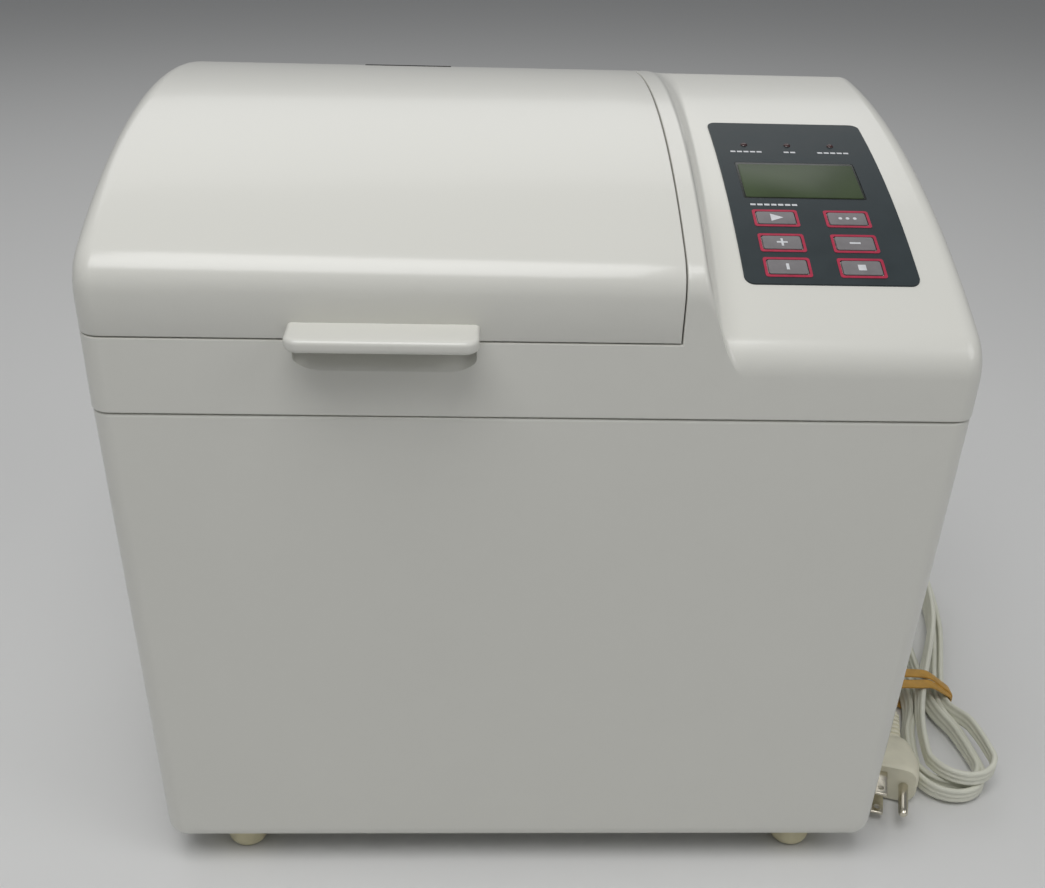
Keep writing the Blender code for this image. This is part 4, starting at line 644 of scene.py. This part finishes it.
def crownedSlab(outline, low, high, crownAt, pitch=0.003):
    # a sheet with the given plan that follows the curve under it
    bm = bmesh.new()
    bm.faces.new([bm.verts.new((x, y, 0)) for x, y in outline])
    ys = [p[1] for p in outline]
    y = min(ys) + pitch
    while y < max(ys):
        geom = bm.verts[:] + bm.edges[:] + bm.faces[:]
        bmesh.ops.bisect_plane(bm, geom=geom, plane_co=(0, y, 0), plane_no=(0, 1, 0))
        y += pitch
    made = bmesh.ops.extrude_face_region(bm, geom=bm.faces[:])
    raised = {v for v in made["geom"] if isinstance(v, bmesh.types.BMVert)}
    for v in bm.verts:
        v.co.z = crownAt(v.co.y) + (high if v in raised else low)
    return bm


def flatRing(outer, inner, low, high):
    turns = ((outer, low), (outer, high), (inner, high), (inner, low), (outer, low))
    return loft([[(x, y, z) for x, y in outline] for outline, z in turns], caps=False)


def makeLabel():
    middle = (panel["x"], panel["front"] + panel["size"][1] / 2)
    outline = roundBox(middle, panel["size"][0] / 2, panel["size"][1] / 2, panel["corner"])
    label = addPiece(crownedSlab(outline, -0.0002, panel["top"], panelArch), "controlLabel", "panelFilm",
                     stands=["control_label"])
    for name, x, y in keyPlaces():
        halfX, halfY = (size / 2 + panel["keyRoom"] for size in panel["keySize"])
        shape(label, panelHole(halfX, halfY, panel["frameCorner"], x, y), "DIFFERENCE")
    halfX, halfY = (size / 2 for size in panel["display"])
    x, y = panel["x"] - panel["keyShift"], panel["front"] + panel["displayAt"]
    shape(label, panelHole(halfX, halfY, panel["displayCorner"], x, y), "DIFFERENCE")


def panelHole(halfX, halfY, corner, x, y):
    return layOnPanel(prism(roundBox((0, 0), halfX, halfY, corner), -panel["deep"], panel["deep"]), x, y)


def keyPlaces():
    for row, names in zip(panel["keyRows"], keyNames):
        for side, name in zip((-1, 1), names):
            x = panel["x"] - panel["keyShift"] + side * panel["keyPitch"] / 2
            yield name, x, panel["front"] + row


def makeKeys():
    halfX, halfY = panel["keySize"][0] / 2, panel["keySize"][1] / 2
    frameX, frameY = panel["frameSize"][0] / 2, panel["frameSize"][1] / 2
    for name, x, y in keyPlaces():
        key = softPrism((0, 0), halfX, halfY, 0.001, -panel["deep"], panel["keyStand"], 0.00035, 4, 4)
        addPiece(layOnPanel(key, x, y), name + "Key", "keyPlastic", name + "_button",
                 [name + "_key"])
        frameRing = flatRing(roundBox((0, 0), frameX, frameY, panel["frameCorner"], 5),
                             roundBox((0, 0), halfX + 0.0004, halfY + 0.0004, 0.0010, 5),
                             panel["top"] - 0.0001, panel["top"] + 0.00012)
        addPiece(layOnPanel(frameRing, x, y), name + "Frame", "crimsonInk")
        addPiece(layOnPanel(keyMark(name), x, y), name + "Mark", "paleInk", name + "_button")


def keyMark(name):
    # generic signs: arrow, bar, square, plus, minus and three dots
    low, high = panel["keyStand"] - 0.0001, panel["keyStand"] + 0.00006
    bm = bmesh.new()

    def add(outline):
        bottom = [bm.verts.new((x, y, low)) for x, y in outline]
        top = [bm.verts.new((x, y, high)) for x, y in outline]
        bm.faces.new(bottom[::-1])
        bm.faces.new(top)
        for i in range(len(outline)):
            j = (i + 1) % len(outline)
            bm.faces.new((bottom[i], bottom[j], top[j], top[i]))

    def bar(cx, cy, wide, tall):
        add([(cx - wide / 2, cy - tall / 2), (cx + wide / 2, cy - tall / 2),
             (cx + wide / 2, cy + tall / 2), (cx - wide / 2, cy + tall / 2)])

    if name == "light":
        add([(-0.0022, -0.0024), (0.0030, 0.0), (-0.0022, 0.0024)])
    elif name == "start":
        bar(0, 0, 0.0012, 0.0034)
    elif name == "stop":
        bar(0, 0, 0.0032, 0.0032)
    elif name == "hour":
        bar(0, 0, 0.0044, 0.0009)
        bar(0, 0.00135, 0.0009, 0.0018)
        bar(0, -0.00135, 0.0009, 0.0018)
    elif name == "minute":
        bar(0, 0, 0.0044, 0.0010)
    else:
        for cx in (-0.0030, 0.0, 0.0030):
            add(roundBox((cx, 0), 0.0008, 0.0008, 0.0008, 3))
    return bm


def makeDisplay():
    x, y = panel["x"] - panel["keyShift"], panel["front"] + panel["displayAt"]
    halfX, halfY = panel["display"][0] / 2 - 0.00005, panel["display"][1] / 2 - 0.00005
    glass = softPrism((0, 0), halfX, halfY, panel["displayCorner"], -0.0022, panel["top"] - 0.0002,
                      0.0002, 5, 3)
    addPiece(layOnPanel(glass, x, y), "displayRimAndTopShade", "displayRimAndTopShade",
             stands=["display_lens"])
    # the pane is set 0.5 mm towards the front, so the dark rim is wider along the back edge: painted shade
    # where the top of the display lies in shadow
    pane = softPrism((0, -0.0005), halfX - 0.0010, halfY - 0.0013, 0.0010, -0.0006, panel["top"] + 0.00005,
                     0.0001, 5, 2)
    addPiece(layOnPanel(pane, x, y), "displayPane", "liquidCrystal")


def dashes(count):
    # a row of short strokes in place of a word
    strokes = bmesh.new()
    long, tall, pitch = panel["dash"]
    for j in range(count):
        at = (j - (count - 1) / 2) * pitch
        made = bmesh.ops.create_cube(strokes, size=1)
        size = Matrix.Diagonal((long, tall, 0.00016, 1))
        place = Matrix.Translation((at, 0, panel["top"] - 0.00002))
        bmesh.ops.transform(strokes, matrix=place @ size, verts=made["verts"])
    return strokes


def makeLamps():
    for i in (-1, 0, 1):
        x, y = panel["x"] - panel["keyShift"] + i * panel["lampPitch"], panel["front"] + panel["lampAt"]
        lens = lathe(lampProfile, (0, 0, 0), count=24)
        addPiece(layOnPanel(lens, x, y), f"lampLens{i + 2}", "lampLens",
                 stands=[f"lamp_{i + 2}"])
        caption = dashes(5 if i else 2)
        addPiece(layOnPanel(caption, x, y + panel["captionDrop"]), f"lampMark{i + 2}", "paleInk")
    # the same kind of caption over the arrow key
    x, y = panel["x"] - panel["keyShift"] - panel["keyPitch"] / 2, panel["front"] + panel["captionAt"]
    addPiece(layOnPanel(dashes(7), x + panel["captionShift"], y), "keyCaption", "paleInk")


makeLabel()
makeKeys()
makeDisplay()
makeLamps()
print("stage 4: control panel")


# a foot's outline: radius, height
footProfile = ((0.0058, 0.0), (0.0074, 0.0004), (0.0086, 0.0014), (0.0094, 0.0030), (0.0099, 0.0055),
               (0.0100, 0.0080), (0.0100, footHeight - 0.0003))


def makeFeet():
    for name in ("front_left", "front_right", "rear_left", "rear_right"):
        low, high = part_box("foot_" + name)
        middle = ((low.x + high.x) / 2, (low.y + high.y) / 2 - frontY, 0)
        pieceName = "foot" + name.title().replace("_", "")
        addPiece(lathe(footProfile, middle), pieceName, "footRubber",
                 stands=["foot_" + name])


makeFeet()


# a flat three-core lead that comes out behind, runs round on the floor and is folded into a tied hank
lead = {
    "width": 0.0084,
    "thickness": 0.0029,
    "ribs": 3,
    "sample": 0.003,
    # x, y from the front face, height, lean of the flat side from upright in degrees
    "start": ((0.128, 0.2600, 0.0620, 90), (0.128, 0.2720, 0.0618, 90), (0.128, 0.2850, 0.0595, 90),
              (0.133, 0.3030, 0.0500, 90), (0.148, 0.3190, 0.0320, 90), (0.168, 0.3280, 0.0135, 90),
              (0.190, 0.3290, 0.0035, 90), (0.211, 0.3210, 0.0019, 90), (0.228, 0.3040, 0.0018, 90),
              (0.2375, 0.2840, 0.0018, 90), (0.2410, 0.2660, 0.0018, 90), (0.2412, 0.2500, 0.0018, 90),
              (0.2408, 0.2330, 0.0022, 70), (0.2390, 0.2060, 0.0046, 20), (0.2350, 0.1740, 0.0060, 8)),
    "end": ((0.2220, 0.1950, 0.0150, 0), (0.2185, 0.1650, 0.0152, 10), (0.2168, 0.1400, 0.0154, 20),
            (0.2150, 0.1220, 0.0150, 20), (0.2108, 0.1095, 0.0134, 8), (0.2066, 0.0998, 0.0121, 0),
            (0.2037, 0.0902, 0.0118, 0), (0.2022, 0.0855, 0.0118, 0)),
    "bandY": 0.112,
    "floorFrom": 0.235,       # behind this y the lead lies flat on the floor
}
# one line for each turn: which end, middle x, middle y, radius, height
folds = (
    ("front", 0.2240, 0.0600, 0.0158, 0.0061), ("rear", 0.2415, 0.2185, 0.0190, 0.0072),
    ("front", 0.2232, 0.0555, 0.0178, 0.0061), ("rear", 0.2420, 0.2225, 0.0235, 0.0072),
    ("front", 0.2290, 0.0575, 0.0168, 0.0150), ("rear", 0.2410, 0.2155, 0.0200, 0.0160),
)
# where each run passes the band: x, height
slots = ((0.2305, 0.0060), (0.2230, 0.0060), (0.2345, 0.0060), (0.2190, 0.0060), (0.2385, 0.0066),
         (0.2262, 0.0150))


def leadRoute():
    route = [*lead["start"]]
    for i, (end, mx, my, radius, z) in enumerate(folds):
        x, high = slots[i]
        ahead = end == "front"
        # forward runs meet the front turn on its right, backward runs meet the rear turn on its left
        entry, leave = (0, -180) if ahead else (180, 0)
        if i == len(folds) - 1:
            entry, leave = 0, 180    # the last turn goes the other way round, towards the plug
        route.append((x, lead["bandY"], high, 30))
        side = 1 if entry == 0 else -1
        mid = my + (lead["bandY"] - my) * 0.45
        midX = mx + side * radius + (x - mx - side * radius) * 0.30
        midZ = z + (high - z) * (0.15 if i == 4 else 0.4)    # the top turn stays clear of those under it
        route.append((midX, mid, midZ, 10))
        for px, py in arc((mx, my), radius, entry, leave, 8):
            route.append((px, py, z, 0))
        if i + 1 < len(slots):
            nextX, nextHigh = slots[i + 1]
            side = -side
            midX = mx + side * radius + (nextX - mx - side * radius) * 0.30
            midZ = z + (nextHigh - z) * 0.4
            route.append((midX, mid, midZ, 10))
    return route + [*lead["end"]]


def smoothThrough(points, spacing):
    # an even walk along a smooth curve through the points
    path = [Vector(p) for p in points]
    fine = []
    for i in range(len(path) - 1):
        before, start, end, after = path[max(i - 1, 0)], path[i], path[i + 1], path[min(i + 2, len(path) - 1)]
        for step in range(16):
            t = step / 16
            rise = (end - before) * t
            curve = (2 * before - 5 * start + 4 * end - after) * t * t
            fine.append(0.5 * (2 * start + rise + curve + (3 * start - before - 3 * end + after) * t * t * t))
    fine.append(path[-1])
    lengths = [0.0]
    for a, b in zip(fine, fine[1:]):
        lengths.append(lengths[-1] + (b.xyz - a.xyz).length)
    count, walk, at = round(lengths[-1] / spacing), [], 0
    for i in range(count + 1):
        goal = lengths[-1] * i / count
        while at < len(lengths) - 2 and lengths[at + 1] < goal:
            at += 1
        share = (goal - lengths[at]) / max(lengths[at + 1] - lengths[at], 1e-9)
        walk.append(fine[at].lerp(fine[at + 1], min(share, 1.0)))
    return walk, lengths[-1]


def ribbedSection(width, thickness, ribs):
    # side by side round cores, so the outline is a row of lobes
    radius = thickness / 2
    pitch = (width - thickness) / (ribs - 1)
    points = []
    groove = 52               # degrees up each lobe where it meets the next
    for k in range(ribs):
        first, last = 0 if k == 0 else groove, 180 if k == ribs - 1 else 180 - groove
        points += arc((pitch * (ribs - 1) / 2 - pitch * k, 0), radius, first, last, 5)
    return points + [(x, -y) for x, y in reversed(points[1:-1])]


def makeLead():
    walk, length = smoothThrough(leadRoute(), lead["sample"])
    section = ribbedSection(lead["width"], lead["thickness"], lead["ribs"])
    rows, path, held = [], [], []
    for i, point in enumerate(walk):
        along = (walk[min(i + 1, len(walk) - 1)].xyz - walk[max(i - 1, 0)].xyz).normalized()
        lean = math.radians(point.w)
        onFloor = point.y > lead["floorFrom"] and point.w > 60
        side = -along.cross(Vector((0, 0, 1))).normalized() if onFloor else Vector((1, 0, 0))
        flat = Vector((0, 0, 1)) * math.cos(lean) + side * math.sin(lean)
        flat = (flat - along * flat.dot(along)).normalized()
        thin = along.cross(flat)
        rows.append([point.xyz + flat * a + thin * b for a, b in section])
        if abs(point.y - lead["bandY"]) < 0.005:
            held.extend((p.x, p.z) for p in rows[-1])
        path.append((point.x, point.y + frontY, point.z))
    made = addPiece(loft(rows), "powerLead", "cordVinyl",
                    stands=["cord_lead", "cord_hank"], crease=50)
    print("lead", round(length, 3), "m")
    return made, path, length, held


def hullOf(points):
    # the closed line of a string pulled tight round the points
    points = sorted(set(points))

    def side(walk):
        kept = []
        for p in walk:
            while len(kept) > 1 and ((kept[-1][0] - kept[-2][0]) * (p[1] - kept[-2][1])
                                     - (kept[-1][1] - kept[-2][1]) * (p[0] - kept[-2][0])) <= 0:
                kept.pop()
            kept.append(p)
        return kept[:-1]
    return side(points) + side(points[::-1])


def evenLoop(points, count):
    loop = [*points, points[0]]
    lengths = [0.0]
    for a, b in zip(loop, loop[1:]):
        lengths.append(lengths[-1] + math.dist(a, b))
    walk, at = [], 0
    for i in range(count):
        goal = lengths[-1] * i / count
        while lengths[at + 1] < goal:
            at += 1
        t = (goal - lengths[at]) / (lengths[at + 1] - lengths[at])
        walk.append(tuple(p + (q - p) * t for p, q in zip(loop[at], loop[at + 1])))
    return walk


bandFacts = {
    "half": 0.0032,           # half its width
    "thick": 0.0010,
    "round": 0.0006,          # how far its edges round over
    "stand": 0.0007,
    "steps": 72,
    "skew": 0.0022,
    "windings": (-0.0022, 0.0018),
}


def makeBand(held):
    # a rubber strip drawn tight round all runs, wound twice and slightly askew
    count = bandFacts["steps"]
    outline = evenLoop(hullOf(held), count)
    for _ in range(3):
        after = outline[1:] + outline[:1]
        outline = [tuple((a + 2 * b + c) / 4 for a, b, c in zip(outline[i - 1], outline[i], after[i]))
                   for i in range(count)]
    bm = bmesh.new()
    half, thick, soft = bandFacts["half"], bandFacts["thick"], bandFacts["round"]
    section = ((0, -half), (thick * 0.8, -half + soft / 6), (thick, -half + soft),
               (thick, half - soft), (thick * 0.8, half - soft / 6), (0, half))
    for turn, shift in enumerate(bandFacts["windings"]):
        rings = []
        for i, (x, z) in enumerate(outline):
            (ax, az), (bx, bz) = outline[i - 1], outline[(i + 1) % count]
            out = Vector((bz - az, 0, ax - bx)).normalized()
            around = 2 * math.pi * i / count
            skew = shift + bandFacts["skew"] * math.sin(around + turn * 2.4)
            spot = Vector((x, lead["bandY"] + skew, z)) + out * (bandFacts["stand"] + thick * turn)
            rings.append([bm.verts.new(spot + Vector((0, b, 0)) + out * a) for a, b in section])
        for i in range(count):
            a, b = rings[i], rings[(i + 1) % count]
            for k in range(len(section)):
                bm.faces.new((a[k - 1], a[k], b[k], b[k - 1]))
    for v in bm.verts:
        v.co.z = max(v.co.z, 0.0003)
    return addPiece(bm, "rubberBand", "bandRubber", stands=["cord_band"], crease=45)


plug = {
    "face": (0.1885, 0.0405),
    "turn": 17,
    "width": 0.026,
    "tall": 0.023,
    "body": 0.028,
    "tail": 0.024,
    "grooves": 6,
    "blade": (0.0063, 0.0163, 0.0016),    # width, reach, thickness
    "pitch": 0.0127,
    "ground": (0.0024, 0.0206, 0.0119),   # radius, reach, distance from the blades
    "hole": (0.0015, 0.0040),             # radius, distance from the tip
}
# along the plug from its face: distance, then shares of its width and height
plugNose = ((0.0, 0.90, 0.90), (0.0006, 0.95, 0.95), (0.0016, 0.985, 0.985), (0.004, 1.0, 1.0),
            (0.010, 1.0, 1.0))
# the same with the distance as a share of the body
plugWaist = ((0.45, 0.97, 0.98), (0.62, 0.86, 0.92), (0.80, 0.72, 0.84), (0.93, 0.60, 0.74),
             (1.0, 0.50, 0.62))
# one groove of the tail: distance, share of the tail's size
plugGroove = ((0.0, 1.0), (0.0018, 1.0), (0.0022, 0.80), (0.0031, 0.80))


def plugStations():
    body, tail, count = plug["body"], plug["tail"], plug["grooves"]
    stations = [*plugNose, *((body * share, wide, tall) for share, wide, tall in plugWaist)]
    stations.append((body + 0.0015, 0.36, 0.46))
    # grooves along the tail let it bend
    for i in range(count):
        at = body + 0.0025 + (tail - 0.003) * i / count
        wide, tall = 0.33 - 0.09 * i / count, 0.44 - 0.05 * i / count
        stations += [(at + step, wide * grow, tall * grow) for step, grow in plugGroove]
    return [*stations, (body + tail, 0.17, 0.37)]


def makePlug():
    place = (Matrix.Translation((*plug["face"], plug["tall"] / 2 + 0.0003)) @ turned(-plug["turn"], "Z"))
    halfX, halfZ = plug["width"] / 2, plug["tall"] / 2
    rows = []
    for y, wide, tall in plugStations():
        a, b = halfX * wide, halfZ * tall
        rows.append([(x, y, z) for x, z in roundBox((0, 0), a, b, min(a, b) * 0.62, 7)])
    bm = loft(rows)
    bm.transform(place)
    made = [addPiece(bm, "plugBody", "plugVinyl", stands=["plug_body"], crease=38)]
    wide, long, thick = plug["blade"]
    radius, reach, away = plug["ground"]
    holeRadius, fromTip = plug["hole"]
    for name, side in (("lower", -1), ("upper", 1)):
        bm = softPrism((-away / 2, 0), wide / 2, thick / 2, 0.0005, 0.0003, long, 0.0006, 4, 3)
        lift = Matrix.Translation((0, 0, side * plug["pitch"] / 2))
        bm.transform(place @ lift @ turned(90, "X"))
        blade = addPiece(bm, name + "Blade", "nickelBrass", stands=["plug_blade_" + name])
        hole = lathe([(holeRadius, -thick), (holeRadius, thick)], (-away / 2, fromTip - long, 0), "Z", 20)
        hole.transform(place @ lift)
        made.append(shape(blade, hole, "DIFFERENCE"))
    pin = lathe([(radius, 0.0003), (radius, reach - 0.003), (radius * 0.9, reach - 0.0012),
                 (radius * 0.62, reach - 0.0003), (radius * 0.25, reach)], (away / 2, 0, 0), "Z", 28)
    pin.transform(place @ turned(90, "X"))
    made.append(addPiece(pin, "groundPin", "nickelBrass", stands=["plug_ground_pin"]))
    return made


relief = {
    "x": halfWidth - 0.042,
    "height": 0.062,
    "length": 0.034,
    "ribs": 6,
    "rib": 0.0028,            # length of one rib
    "waist": 0.84,            # share of a rib's radius left between ribs
    # its collar through the wall: radius, distance from the wall's face
    "collar": ((0.0090, -0.0048), (0.0090, -0.0028), (0.0065, -0.0028), (0.0065, 0.0), (0.0080, 0.0),
               (0.0080, 0.0026), (0.0076, 0.0030)),
}


def makeRelief():
    wallOut = depth - shell["seamInset"] + 0.0003
    profile = [(radius, wallOut + at) for radius, at in relief["collar"]]
    count, length, rib = relief["ribs"], relief["length"], relief["rib"]
    for i in range(count):
        at = wallOut + 0.0040 + (length - 0.006) * i / count
        size = 0.0072 - 0.0020 * i / count
        thin = size * relief["waist"]
        profile += [(size, at), (size, at + rib), (thin, at + rib + 0.0004), (thin, at + rib + 0.0014)]
    profile.append((0.0050, wallOut + length))
    spot = (relief["x"], 0, relief["height"])
    return addPiece(lathe(profile, spot, "Y", 32), "strainRelief", "plugVinyl",
                    stands=["strain_relief"], crease=38)


cord, cordPath, cordLength, heldPoints = makeLead()
band = makeBand(heldPoints)
endPieces = [*makePlug(), band, makeRelief()]
print("stage 5: cord and plug")


# pieces that keep their frame shape get their finish here
nodeFinish = {
    "rolledSteel": ("base_plate", "chassis", "pan_socket"),
    "satinSteel": ("lid_liner",),
    "ovenEnamel": ("oven_chamber",),
    "brightSteel": ("hinge_pin_left", "hinge_pin_right", "drive_shaft", "motor_rotor", "pan_shaft",
                    "pan_handle", "temperature_sensor", "drive_bearing",
                    *(f"base_screw_{i}" for i in range(1, 5))),
    "panCoating": ("bread_pan", "kneading_paddle"),
    "elementSheath": ("heating_element",),
    "liquidCrystal": ("display_panel",),
    "blackPlastic": ("steam_vent", "shaft_seal", "drive_belt", "drive_pulley"),
    "circuitBoard": ("control_board", "power_board"),
    "motorMetal": ("motor", "transformer"),
}
for finish, names in nodeFinish.items():
    for name in names:
        node = nodes[name]
        node.data.materials.clear()
        node.data.materials.append(materials[finish])


studio = {
    "floorSize": 6.0,
    "floorDrop": 0.0002,
    "floorColor": (0.70, 0.70, 0.69),
    "sky": 0.19,
    "skyColor": (0.95, 0.97, 1.0, 1.0),
}
# place, what it aims at, size, power
lights = {
    "keyLight": ((-0.20, -0.50, 1.50), (0, 0, 0.2), (1.1, 0.9), 12.5),
    "fillLight": ((1.15, -0.6, 1.25), (0, 0, 0.15), (0.8, 0.8), 3.6),
    "backLight": ((-0.2, 1.2, 1.3), (0, 0, 0.25), (2.0, 0.9), 5),
}


def makeFloor():
    bm = bmesh.new()
    half = studio["floorSize"] / 2
    corners = ((-half, -half), (half, -half), (half, half), (-half, half))
    bm.faces.new([bm.verts.new((x, y, -studio["floorDrop"])) for x, y in corners])
    mesh = bpy.data.meshes.new("floor")
    bm.to_mesh(mesh)
    bm.free()
    floor = bpy.data.objects.new("floor", mesh)
    mesh.materials.append(makeFinish("floorPaint", studio["floorColor"], 0.7, mottle=0.0, grain=0.0))
    bpy.context.scene.collection.objects.link(floor)


def makeLight(name, place, aim, size, power):
    data = bpy.data.lights.new(name, "AREA")
    data.shape, data.size, data.size_y = "RECTANGLE", *size
    data.energy = power
    obj = bpy.data.objects.new(name, data)
    bpy.context.scene.collection.objects.link(obj)
    obj.location = place
    obj.rotation_euler = (Vector(aim) - Vector(place)).to_track_quat("-Z", "Y").to_euler()


def makeWorld():
    world = bpy.data.worlds.new("studio")
    world.use_nodes = True
    background = world.node_tree.nodes["Background"]
    background.inputs["Color"].default_value = studio["skyColor"]
    background.inputs["Strength"].default_value = studio["sky"]
    bpy.context.scene.world = world
    bpy.context.scene.view_settings.view_transform = "Standard"


makeFloor()
for name, facts in lights.items():
    makeLight(name, *facts)
makeWorld()
print("stage 6: floor and light")
